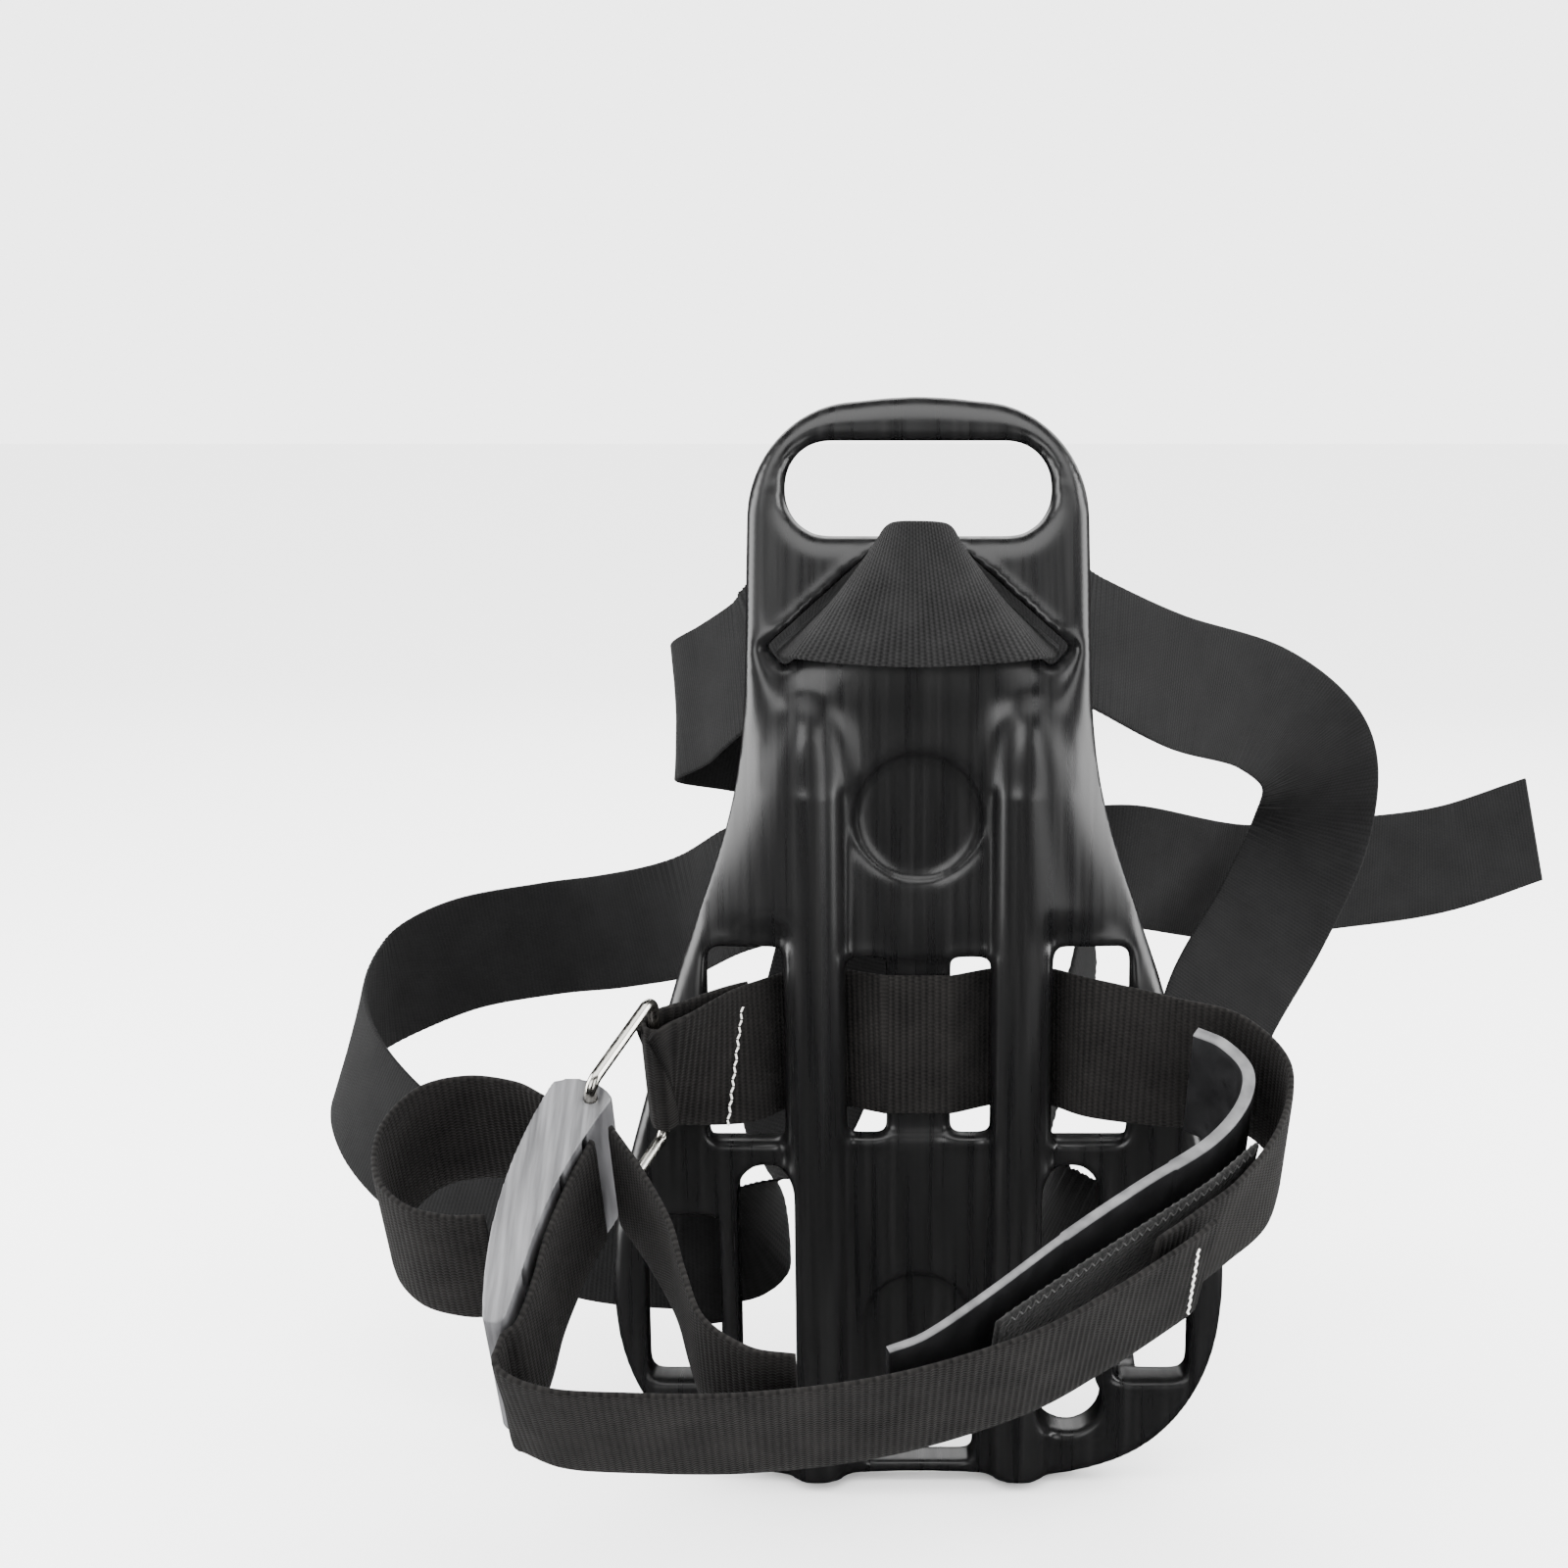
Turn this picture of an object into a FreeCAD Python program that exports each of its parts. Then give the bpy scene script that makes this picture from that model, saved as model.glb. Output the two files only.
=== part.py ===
import FreeCAD, Part
import math
import os

# Back-frame and webbing harness for one breathing-gas cylinder.
# +Z is up, the cylinder stands on the -Y side, the wearer on the +Y side and +X is
# the right-hand side seen from the cylinder. The origin lies on the centre line, in the plane
# that touches the two cylinder ridges, 5 mm above the lowest edge of the sole.

V = FreeCAD.Vector
UP = V(0, 0, 1)

doc = FreeCAD.newDocument("CylinderBackFrame")
sheet = doc.addObject("Spreadsheet::Sheet", "Sizes")

SIZES = [
    ("plate_top", 378.5), ("plate_bottom", -5), ("plate_half_width", 109), ("plate_thickness", 16),
    ("panel_front", 9), ("handle_half_width", 58.5), ("handle_corner", 38), ("crown_rise", 1.5),
    ("bend_height", 293), ("bend_angle", 27), ("bend_radius", 60),
    ("grip_half_width", 46), ("grip_low", 332.5), ("grip_high", 364), ("grip_corner", 15),
    ("ridge_offset", 36), ("ridge_radius", 11), ("ridge_top", 258), ("ridge_taper", 24),
    ("spine_half_width", 30), ("spine_depth", 8), ("spine_round", 6),
    ("upper_spine_low", 205), ("upper_spine_high", 262),
    ("lower_spine_low", 36), ("lower_spine_high", 118),
    ("badge_radius", 22), ("badge_depth", 4), ("badge_height", 240),
    ("window_low", 124.5), ("window_high", 194.5), ("window_inner", 46.5), ("window_outer", 73),
    ("window_corner", 3), ("centre_window", 25), ("centre_low", 126.5), ("centre_high", 191),
    ("centre_corner", 2), ("centre_bar", 11.5), ("centre_bar_setback", 3),
    ("channel_floor", 17.5), ("channel_half_width", 76), ("channel_low", 123.5), ("channel_high", 197),
    ("tension_slot_inner", 43.5), ("tension_slot_outer", 63.5), ("tension_slot_low", 26),
    ("tension_slot_high", 115.5), ("tension_slot_corner", 9.5), ("eye_offset", 54), ("eye_radius", 12),
    ("waist_slot_inner", 70.5), ("waist_slot_outer", 97), ("waist_slot_low", 34),
    ("waist_slot_high", 97), ("waist_slot_corner", 4),
    ("shoulder_slot_width", 9.6), ("shoulder_slot_low", 293.8), ("shoulder_slot_high", 327),
    ("shoulder_slot_outer", 48.5), ("shoulder_slot_inner", 9.8),
    ("foot_half_width", 19.5), ("foot_slot_low", 2.5), ("foot_slot_high", 22), ("foot_corner", 2),
    ("foot_arch_high", 75),
    ("strap_bar_offset", 76), ("strap_bar_width", 8), ("strap_bar_low", 25), ("strap_bar_high", 111),
    ("strap_bar_depth", 18), ("strap_gap", 10), ("strap_gap_low", 33), ("strap_gap_high", 103),
    ("strap_gap_width", 30),
    ("web_width", 50), ("web_thickness", 1.8), ("band_height", 163.8), ("band_droop", 30),
    ("front_lean", 8),
    ("wire_radius", 2), ("ring_height", 66), ("ring_x", -88), ("ring_out", 11),
    ("ring_tip_x", -105), ("ring_tip_out", 50.5), ("ring_corner", 5),
    ("lever_width", 55), ("lever_slot_length", 32), ("lever_slot_width", 3),
    ("pivot_clearance", 0.08), ("pad_thickness", 4.2), ("pad_width", 48), ("patch_width", 46),
    ("buckle_seam", 12), ("buckle_height", 190), ("buckle_depth", 145), ("buckle_width", 62),
    ("buckle_thickness", 15), ("socket_length", 46), ("tongue_length", 34),
    ("buckle_wall", 2.5), ("buckle_bar", 3), ("prong_length", 40), ("prong_thickness", 8),
    ("thread_radius", 0.35), ("stitch_count", 18), ("stitch_swing", 0.35),
]
for row, (alias, value) in enumerate(SIZES, start=1):
    sheet.set("A%d" % row, alias.replace("_", " "))
    sheet.set("B%d" % row, str(value))
    sheet.setAlias("B%d" % row, alias)
doc.recompute()


def size(name):
    return float(getattr(sheet, name))


NODES = []


def keep(obj, label):
    obj.Label = label
    NODES.append(obj)
    return obj


def feature(label, shape):
    """A sub-part whose free form is made with Part's own functions."""
    obj = doc.addObject("Part::Feature", label)
    obj.Shape = shape
    obj.Placement = FreeCAD.Placement()
    return keep(obj, label)


# ---------------------------------------------------------------- the band's plane
DROOP = math.radians(size("band_droop"))
OUT = V(0, -math.cos(DROOP), -math.sin(DROOP))
ACROSS = V(0, -math.sin(DROOP), math.cos(DROOP))
BAND_START = V(0, -1.8, size("band_height"))


def band(x, reach, rise=0.0):
    """A point of the drooping cylinder band: sideways, away from the plate, and up its width."""
    return BAND_START + V(x, 0, 0) + OUT * reach + ACROSS * rise


# ---------------------------------------------------------------- webbing
def smooth(points, per_span):
    """Points along a smooth curve through the given ones."""
    ends = [points[0] * 2 - points[1]] + points + [points[-1] * 2 - points[-2]]
    line = []
    for i in range(1, len(ends) - 2):
        a, b, c, d = ends[i - 1:i + 3]
        for step in range(per_span):
            u = step / per_span
            line.append((b * 2 + (c - a) * u + (a * 2 - b * 5 + c * 4 - d) * u ** 2
                         + (b * 3 - a - c * 3 + d) * u ** 3) * 0.5)
    return line + [points[-1]]


def ribbon(stations, width=None, thickness=None, per_span=3, square=True):
    """A flat strap through stations, each a centre and the direction of its width.

    A square strap turns each width direction square to its run, and a draped one keeps it.
    """
    width = width or size("web_width")
    thickness = thickness or size("web_thickness")
    centres = smooth([V(*c) for c, _ in stations], per_span)
    acrosses = smooth([V(*w) for _, w in stations], per_span)
    sections = []
    last = len(centres) - 1
    for i, (centre, across) in enumerate(zip(centres, acrosses)):
        run = centres[min(i + 1, last)] - centres[max(i - 1, 0)]
        run.normalize()
        if square:
            across = across - run * across.dot(run)
        across.normalize()
        half = across * (width / 2)
        rise = run.cross(across).normalize() * (thickness / 2)
        sections.append([centre - half - rise, centre + half - rise,
                         centre + half + rise, centre - half + rise])
    return prism_through(sections)


def prism_through(sections):
    """A closed solid of flat facets whose cross-sections are the given rings of corners."""
    facets = []

    def triangle(p, q, r):
        facets.append(Part.Face(Part.makePolygon([p, q, r, p])))

    for here, there in zip(sections, sections[1:]):
        for a in range(4):
            b = (a + 1) % 4
            if a == 2:
                # the same diagonal as on the opposite face keeps a twisted strap its full thickness
                triangle(here[a], here[b], there[a])
                triangle(here[b], there[b], there[a])
            else:
                triangle(here[a], here[b], there[b])
                triangle(here[a], there[b], there[a])
    for ring in (sections[0], sections[-1]):
        facets.append(Part.Face(Part.makePolygon(ring + [ring[0]])))
    shell = Part.Shell(facets)
    shell.sewShape()
    solid = Part.Solid(shell)
    if solid.Volume < 0:
        solid.reverse()
    return solid


# ---------------------------------------------------------------- backplate
THROUGH_FRONT = -20
THROUGH_BACK = 110
CUT_DEPTH = 24


def polygon_face(points):
    return Part.Face(Part.makePolygon(points + [points[0]]))


def slot_tool(x_low, x_high, z_low, z_high, corner, y_high=THROUGH_BACK):
    """An upright prism with rounded corners that runs through the plate along Y."""
    low = V(x_low, THROUGH_FRONT, z_low)
    prism = Part.makeBox(x_high - x_low, y_high - THROUGH_FRONT, z_high - z_low, low)
    along_y = [e for e in prism.Edges if abs(e.tangentAt(e.FirstParameter).y) > 0.9]
    return prism.makeFillet(corner, along_y)


def mirrored_slot(sign, inner, outer, z_low, z_high, corner):
    low, high = sorted((sign * size(inner), sign * size(outer)))
    return slot_tool(low, high, size(z_low), size(z_high), size(corner))


def plate_outline():
    """The plate's front view: grip, straight neck, flared body, wide rounded foot."""
    half = size("handle_half_width")
    top = size("plate_top")
    bottom = size("plate_bottom")
    corner = size("handle_corner")
    wide = size("plate_half_width")
    foot = wide - 72
    flank = [V(half, 0, 318), V(half, 0, 292), V(half + 4, 0, 250), V(half + 14, 0, 215),
             V(half + 25, 0, 184), V(half + 38, 0, 137), V(wide - 2, 0, 95), V(wide, 0, 66),
             V(wide - 6, 0, 34), V(wide - 27, 0, bottom + 12), V(wide - 52, 0, bottom + 2),
             V(foot, 0, bottom)]
    shoulder_height = top - size("crown_rise")

    def side(sign):
        def at(x, z):
            return V(sign * x, 0, z)
        curve = Part.BSplineCurve()
        curve.interpolate([at(p.x, p.z) for p in flank])
        diagonal = corner * (1 - math.sqrt(0.5))
        low = shoulder_height - corner
        arc = Part.Arc(at(half, low), at(half - diagonal, shoulder_height - diagonal),
                       at(half - corner, shoulder_height))
        straight = Part.LineSegment(at(half, low), at(flank[0].x, flank[0].z))
        return [arc.toShape(), straight.toShape(), curve.toShape()]

    crown = Part.Arc(V(corner - half, 0, shoulder_height), V(0, 0, top), V(half - corner, 0, shoulder_height))
    sole = Part.Arc(V(-foot, 0, bottom), V(0, 0, bottom + 2), V(foot, 0, bottom))
    edges = Part.sortEdges(side(1) + side(-1) + [crown.toShape(), sole.toShape()])[0]
    return Part.Face(Part.Wire(edges))


def side_profile(front, back):
    """The plate's side view: upright below, and leaning towards the wearer at the top."""
    bend = size("bend_height")
    lean = math.radians(size("bend_angle"))
    radius = size("bend_radius")
    top = size("plate_top") + 30
    low = size("plate_bottom") - 10
    tangent = radius * math.tan(lean / 2)

    def edge(depth):
        start = V(0, depth, bend - tangent)
        end = V(0, depth + tangent * math.sin(lean), bend + tangent * math.cos(lean))
        centre = V(0, depth + radius, bend - tangent)
        middle = centre + V(0, -math.cos(lean / 2), math.sin(lean / 2)) * radius
        tip = V(0, depth + (top - bend) * math.tan(lean), top)
        return start, middle, end, tip

    front_start, front_middle, front_end, front_tip = edge(front)
    back_start, back_middle, back_end, back_tip = edge(back)
    edges = [
        Part.LineSegment(V(0, front, low), front_start).toShape(),
        Part.Arc(front_start, front_middle, front_end).toShape(),
        Part.LineSegment(front_end, front_tip).toShape(),
        Part.LineSegment(front_tip, back_tip).toShape(),
        Part.LineSegment(back_tip, back_end).toShape(),
        Part.Arc(back_end, back_middle, back_start).toShape(),
        Part.LineSegment(back_start, V(0, back, low)).toShape(),
        Part.LineSegment(V(0, back, low), V(0, front, low)).toShape(),
    ]
    return Part.Face(Part.Wire(Part.sortEdges(edges)[0]))


def plate_slab(front, back):
    """The side view swept sideways, cut to the front view."""
    outline = plate_outline()
    outline.translate(V(0, THROUGH_FRONT, 0))
    prism = outline.extrude(V(0, THROUGH_BACK - THROUGH_FRONT, 0))
    reach = size("plate_half_width") + 40
    profile = side_profile(front, back)
    profile.translate(V(-reach, 0, 0))
    return profile.extrude(V(2 * reach, 0, 0)).common(prism)


def ridge(sign):
    """One of the two round ribs that the cylinder lies against, fading out at its top."""
    radius = size("ridge_radius")
    x = sign * size("ridge_offset")
    low = size("plate_bottom") + 2
    rib = Part.makeCylinder(radius, size("ridge_top") - low, V(x, radius, low), UP)
    taper = FreeCAD.Matrix()
    taper.scale(1, 1, size("ridge_taper") / radius)
    tip = Part.makeSphere(radius).transformGeometry(taper)
    tip.translate(V(x, radius, size("ridge_top")))
    return [rib, tip]


def spine_block(back, low, high):
    """A raised block on the wearer's side that stiffens the middle of the plate."""
    half = size("spine_half_width")
    depth = size("spine_depth")
    root = 4
    block = Part.makeBox(2 * half, depth + root, high - low, V(-half, back - root, low))
    rear = [e for e in block.Edges if e.BoundBox.YMin > back + depth - 0.1]
    return block.makeFillet(size("spine_round"), rear)


def strap_bar(sign, back):
    """The upright bar on the wearer's side that the waist belt is sewn round."""
    width = size("strap_bar_width")
    low = size("strap_bar_low")
    corner = V(sign * size("strap_bar_offset") - width / 2, back, low)
    return Part.makeBox(width, size("strap_bar_depth"), size("strap_bar_high") - low, corner)


def strap_gap(sign, back):
    """The space between the plate and the upright bar, which the belt passes through."""
    width = size("strap_gap_width")
    low = size("strap_gap_low")
    corner = V(sign * size("strap_bar_offset") - width / 2, back, low)
    return Part.makeBox(width, size("strap_gap"), size("strap_gap_high") - low, corner)


def shoulder_slot(sign):
    """The slanted slot that the shoulder webbing passes through, below the grip."""
    low_end = V(sign * size("shoulder_slot_outer"), THROUGH_FRONT, size("shoulder_slot_low"))
    high_end = V(sign * size("shoulder_slot_inner"), THROUGH_FRONT, size("shoulder_slot_high"))
    arm = high_end - low_end
    half = V(-arm.z, 0, arm.x).normalize() * (size("shoulder_slot_width") / 2)
    face = polygon_face([low_end - half, high_end - half, high_end + half, low_end + half])
    return face.extrude(V(0, THROUGH_BACK - THROUGH_FRONT, 0))


def band_windows(front):
    """The window openings that the cylinder band is woven through, and the channel behind them."""
    centre = size("centre_window")
    bar = size("centre_bar")
    low = size("centre_low")
    high = size("centre_high")
    corner = size("centre_corner")
    channel = size("channel_half_width")
    tools = [slot_tool(-centre, -bar, low, high, corner), slot_tool(bar, centre, low, high, corner)]
    # the centre bar stands back from the panel, so that the webbing lies in the trough
    tools.append(slot_tool(-bar - 1, bar + 1, low, high, corner, front + size("centre_bar_setback")))
    tools.append(Part.makeBox(2 * channel, CUT_DEPTH, size("channel_high") - size("channel_low"),
                              V(-channel, size("channel_floor"), size("channel_low"))))
    for sign in (-1, 1):
        tools.append(mirrored_slot(sign, "window_inner", "window_outer", "window_low", "window_high",
                                   "window_corner"))
    return tools


def side_slots():
    """The upright slots for the tensioning straps, each with a round eye, and for the waist belt."""
    tools = []
    for sign in (-1, 1):
        tools.append(mirrored_slot(sign, "tension_slot_inner", "tension_slot_outer", "tension_slot_low",
                                   "tension_slot_high", "tension_slot_corner"))
        eye = V(sign * size("eye_offset"), THROUGH_FRONT, size("tension_slot_low"))
        tools.append(Part.makeCylinder(size("eye_radius"), THROUGH_BACK, eye, V(0, 1, 0)))
        tools.append(mirrored_slot(sign, "waist_slot_inner", "waist_slot_outer", "waist_slot_low",
                                   "waist_slot_high", "waist_slot_corner"))
        tools.append(shoulder_slot(sign))
    return tools


def foot_recess(front):
    """The shallow arched recess over the sole, with its slot right through the plate."""
    half = size("foot_half_width")
    low = size("foot_slot_low")
    arch_centre = size("foot_arch_high") - half
    outer = front - CUT_DEPTH + size("badge_depth")
    slot = slot_tool(-half, half, low, size("foot_slot_high"), size("foot_corner"))
    legs = Part.makeBox(2 * half, CUT_DEPTH, arch_centre - low, V(-half, outer, low))
    arch = Part.makeCylinder(half, CUT_DEPTH, V(0, outer, arch_centre), V(0, 1, 0))
    return [slot, legs, arch]


def build_backplate():
    front = size("panel_front")
    back = front + size("plate_thickness")
    adds = [spine_block(back, size("upper_spine_low"), size("upper_spine_high")),
            spine_block(back, size("lower_spine_low"), size("lower_spine_high"))]
    grip = size("grip_half_width")
    cuts = [slot_tool(-grip, grip, size("grip_low"), size("grip_high"), size("grip_corner"))]
    badge_outer = front - CUT_DEPTH + size("badge_depth")
    cuts.append(Part.makeCylinder(size("badge_radius"), CUT_DEPTH, V(0, badge_outer, size("badge_height")),
                                  V(0, 1, 0)))
    for sign in (-1, 1):
        adds += ridge(sign)
        adds.append(strap_bar(sign, back))
        cuts.append(strap_gap(sign, back))
    cuts += band_windows(front) + side_slots() + foot_recess(front)
    body = plate_slab(front, back).fuse(adds).removeSplitter()
    feature("backplate", body.cut(cuts).removeSplitter())


# ---------------------------------------------------------------- harness webbing
ARM_RIGHT = (-0.759, 0, 0.651)
ARM_LEFT = (0.759, 0, 0.651)
Z = (0, 0, 1)


def between(upper, lower):
    """A station given by the two edges of the strap, as its middle and width direction."""
    high = V(*upper)
    low = V(*lower)
    return (high + low) * 0.5, (high - low).normalize()


def tab_stations():
    """The webbing draped over the tongue below the grip: a tent between the slanted slots."""
    left = [((-10.2, 33, 326.5), (-48.1, 33, 294)), ((-10.4, 26, 327), (-47.8, 24, 294)),
            ((-11.4, 14, 331), (-45.5, 13, 294.3)), ((-11.4, 2, 336.5), (-39.5, 5.5, 294.5)),
            ((-9, -7, 341), (-24, 2, 293.2))]
    right = [((-high[0], high[1], high[2]), (-low[0], low[1], low[2])) for high, low in reversed(left)]
    return [between(*edges) for edges in left + [((-1.5, -10.5, 342), (-1, 0.5, 292.4))] + right]


def build_harness():
    feature("shoulder_tab", ribbon(tab_stations(), square=False))

    right = [((29.2, 35.6, 310.2), ARM_RIGHT), ((30.6, 42, 309.8), ARM_RIGHT),
             ((42, 50, 305), (-0.6, 0, 0.8)), ((62, 62, 294), (-0.35, 0, 0.94)),
             ((96, 100, 274), (-0.1, 0, 1)),
             ((136, 150, 256), (0.3, 0, 0.95)), ((163, 188, 230), (0.85, 0, 0.5)),
             ((166, 208, 198), (1, 0, 0)), ((148, 190, 164), (0.9, 0, -0.4)),
             ((122, 150, 134), (0.8, 0, -0.6)), ((108, 112, 106), (0.55, 0, -0.85)),
             ((102, 78, 86), (0.2, 0, -1)), ((93, 55, 76), (0.05, 0, -1)),
             ((84, 49.2, 73), (0, 0, -1)), ((72, 48.6, 73), (0, 0, -1))]
    feature("shoulder_strap_right", ribbon(right))

    left = [((-29.2, 35.6, 310.2), ARM_LEFT), ((-30.6, 42, 309.8), ARM_LEFT),
            ((-42, 50, 305), (0.6, 0, 0.8)), ((-60, 60, 288), (0.3, 0, 0.95)),
            ((-78, 85, 272), (0.1, 0, 1)),
            ((-90, 106, 262), Z), ((-84, 123, 256), Z), ((-60, 129, 250), Z),
            ((-34, 117, 240), (-0.3, 0, 0.95)), ((-20, 98, 212), (-0.85, 0, 0.5)),
            ((-30, 84, 168), (-1, 0, 0)), ((-44, 70, 120), (-0.7, 0, -0.7)),
            ((-54, 60, 90), (-0.3, 0, -0.95)), ((-62, 51.5, 76), (0, 0, -1)),
            ((-72, 49, 73), (0, 0, -1)), ((-84, 48.6, 73), (0, 0, -1))]
    feature("shoulder_strap_left", ribbon(left))

    high = size("buckle_height")
    deep = size("buckle_depth")
    bar = size("strap_bar_offset")

    def bar_fold(sign, come_from):
        """The strap's sewn loop round the upright bar on the wearer's side of the plate."""
        reach = size("strap_bar_width") / 2 + 2.6
        return [((sign * (bar + come_from * reach * 1.6), 45.4, 72), Z), ((sign * bar, 45.2, 72), Z),
                ((sign * (bar - come_from * reach * 0.85), 43, 72), Z),
                ((sign * (bar - come_from * reach), 39, 72), Z),
                ((sign * (bar - come_from * reach * 0.85), 34.6, 72), Z),
                ((sign * bar, 32, 72), Z), ((sign * (bar + come_from * 11), 31.2, 72), Z)]

    def buckle_fold(sign, bar_x):
        """The strap's loop round the buckle's end bar, from the underside to the upper side."""
        return [((bar_x + sign * 26, deep - 2.6, high), Z), ((bar_x + sign * 12, deep - 3.6, high), Z),
                ((bar_x + sign * 1.5, deep - 4.2, high), Z), ((bar_x - sign * 2.8, deep - 3, high), Z),
                ((bar_x - sign * 3.6, deep, high), Z), ((bar_x - sign * 2.8, deep + 3, high), Z),
                ((bar_x + sign * 1.5, deep + 4.2, high), Z), ((bar_x + sign * 12, deep + 3.6, high), Z)]

    socket_bar = size("buckle_seam") - size("socket_length") + size("buckle_bar") / 2
    belt_left = buckle_fold(-1, socket_bar)
    belt_left += [((-72, deep + 14, high - 8), Z),
                  ((-100, deep + 56, high - 30), Z), ((-130, 218, 150), Z), ((-160, 224, 145), Z),
                  ((-196, 214, 140), Z), ((-222, 190, 130), (0.15, 0, 1)),
                  ((-230, 150, 120), (0.3, 0, 0.95)), ((-218, 110, 110), (0.35, 0, 0.93)),
                  ((-193, 80, 96), (0.35, 0, 0.93)), ((-160, 60, 84), (0.25, 0, 0.96)),
                  ((-122, 50, 74), (0.1, 0, 1))]
    belt_left += bar_fold(-1, 1)
    feature("waist_belt_left", ribbon(belt_left))

    tongue_bar = size("buckle_seam") + size("tongue_length") - size("buckle_bar") / 2
    belt_right = list(reversed(buckle_fold(1, tongue_bar)))[2:]
    belt_right = belt_right[:-1] + [((68, deep - 12, high - 10), Z), ((62, 108, 152), (0, -0.3, 1)),
                                    ((50, 86, 116), (0, -0.4, 0.9)), ((50, 62, 86), (0, -0.2, 1))]
    belt_right += bar_fold(1, -1)
    feature("waist_belt_right", ribbon(belt_right))

    tail = [((tongue_bar + 2, deep + 4.3, high), Z), ((58, deep + 9, high), Z), ((85, 170, 189), Z),
            ((136, 220, 171), Z), ((187, 260, 166), Z), ((237, 285, 167), Z), ((282, 300, 178), Z)]
    feature("waist_belt_tail", ribbon(tail))


# ---------------------------------------------------------------- cylinder band
LEAN = math.radians(size("front_lean"))
LEANED = ACROSS * math.cos(LEAN) + OUT * math.sin(LEAN)


def along_band(points, width_direction=ACROSS):
    """Stations of a strap that stands across the band's drooping plane."""
    return [(band(x, out), width_direction) for x, out in points]


def ring_fold():
    """The anchor strap's sewn end: out along the window, round the ring's near bar and back."""
    turn = size("wire_radius") + 1.75
    heading = (V(-30, 0, 0) + OUT * 26).normalize()
    side = ACROSS.cross(heading)
    centre = band(size("ring_x"), size("ring_out"), -3)
    fold = [((-60, 9, 158), Z), (centre - side * turn - heading * 6, ACROSS)]
    for degrees in (-80, -40, 0, 40, 80):
        angle = math.radians(degrees)
        fold.append((centre + heading * (turn * math.cos(angle)) + side * (turn * math.sin(angle)), ACROSS))
    fold.append((centre + side * turn - heading * 6, ACROSS))
    return fold


def build_band():
    woven = [(-58, 6.2, 158), (-47.5, 18.6, 158.6), (-41, 20, 158.9), (-28, 20, 159.4),
             (-23.5, 18.4, 159.6), (-12.5, 10.4, 160), (-9, 9.9, 160), (9, 9.9, 160), (12.5, 10.4, 160),
             (23.5, 18.4, 160), (28, 20, 160), (41, 20, 160), (47.5, 18.6, 160), (60, 5, 160)]
    anchor = ring_fold() + [(point, Z) for point in woven]
    anchor += [((86, -5, 158), (0, -0.2, 1)), (band(108, 12, -1.5), (0, -0.4, 0.9)),
               (band(121, 32), ACROSS), (band(116, 58), ACROSS)]
    anchor += along_band([(101, 78), (86, 92), (72, 103.5)], LEANED)
    feature("anchor_strap", ribbon(anchor))

    in_lever = [(-103.5, 66), (-109, 84), (-113.5, 104), (-115.5, 122), (-118.5, 137), (-123, 143.5)]
    front_run = [(-122, 151), (-109, 158), (-88, 160), (-50, 160), (-8, 153.5), (32, 139), (58, 122.5),
                 (82, 104), (90, 96.5)]
    feature("cylinder_strap", ribbon(along_band(in_lever) + along_band(front_run, LEANED)))
    loop = [(-121, 47), (-131, 41), (-147, 38.5), (-162, 44), (-171, 60), (-170, 79),
            (-160, 92), (-146, 97), (-133.5, 97)]
    feature("cam_loop", ribbon(along_band(loop)))
    tail = [(-98, 60), (-87, 78), (-77, 98), (-71, 118), (-64, 136), (-50, 147), (-32, 150.5),
            (-12, 149)]
    feature("strap_tail", ribbon(along_band(tail)))
    patch = [(106, 64), (92, 78), (74, 92.5), (56, 106.5), (38, 121), (22, 134.5)]
    feature("loop_patch", ribbon(along_band(patch, LEANED), size("patch_width")))
    pad = [(92, 17), (101, 23), (107.5, 35), (104, 50), (92, 66), (70, 83), (46, 103), (22, 125),
           (3, 141), (-9, 147)]
    feature("anti_slip_pad", ribbon(along_band(pad), size("pad_width"), size("pad_thickness")))


# ---------------------------------------------------------------- ring and cam lever
def build_ring():
    """A rounded rectangle of steel wire between the sewn loop and the cam lever."""
    near = band(size("ring_x"), size("ring_out"))
    far = band(size("ring_tip_x"), size("ring_tip_out"))
    half = size("ring_height") / 2
    corner = size("ring_corner")
    along = (far - near).normalize()
    diagonal = corner * (1 - math.sqrt(0.5))
    edges = []
    turns = []
    for point, inward, side in ((near, 1, 1), (far, -1, 1), (far, -1, -1), (near, 1, -1)):
        tip = point + ACROSS * (half * side)
        on_bar = tip - ACROSS * (corner * side)
        on_arm = tip + along * (corner * inward)
        middle = tip - ACROSS * (diagonal * side) + along * (diagonal * inward)
        start, end = (on_bar, on_arm) if inward * side > 0 else (on_arm, on_bar)
        turns.append((start, middle, end))
    for (start, middle, end), (next_start, _, _) in zip(turns, turns[1:] + turns[:1]):
        edges.append(Part.Arc(start, middle, end).toShape())
        edges.append(Part.makeLine(end, next_start))
    path = Part.Wire(edges)
    section = Part.Wire(Part.makeCircle(size("wire_radius"), near, ACROSS))
    feature("wire_ring", path.makePipeShell([section], True, False))


def lever_curve(points):
    curve = Part.BSplineCurve()
    curve.interpolate([band(x, out, -size("lever_width") / 2) for x, out in points])
    return curve.toShape()


def lever_arc(points):
    return Part.Arc(*[band(x, out, -size("lever_width") / 2) for x, out in points]).toShape()


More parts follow.
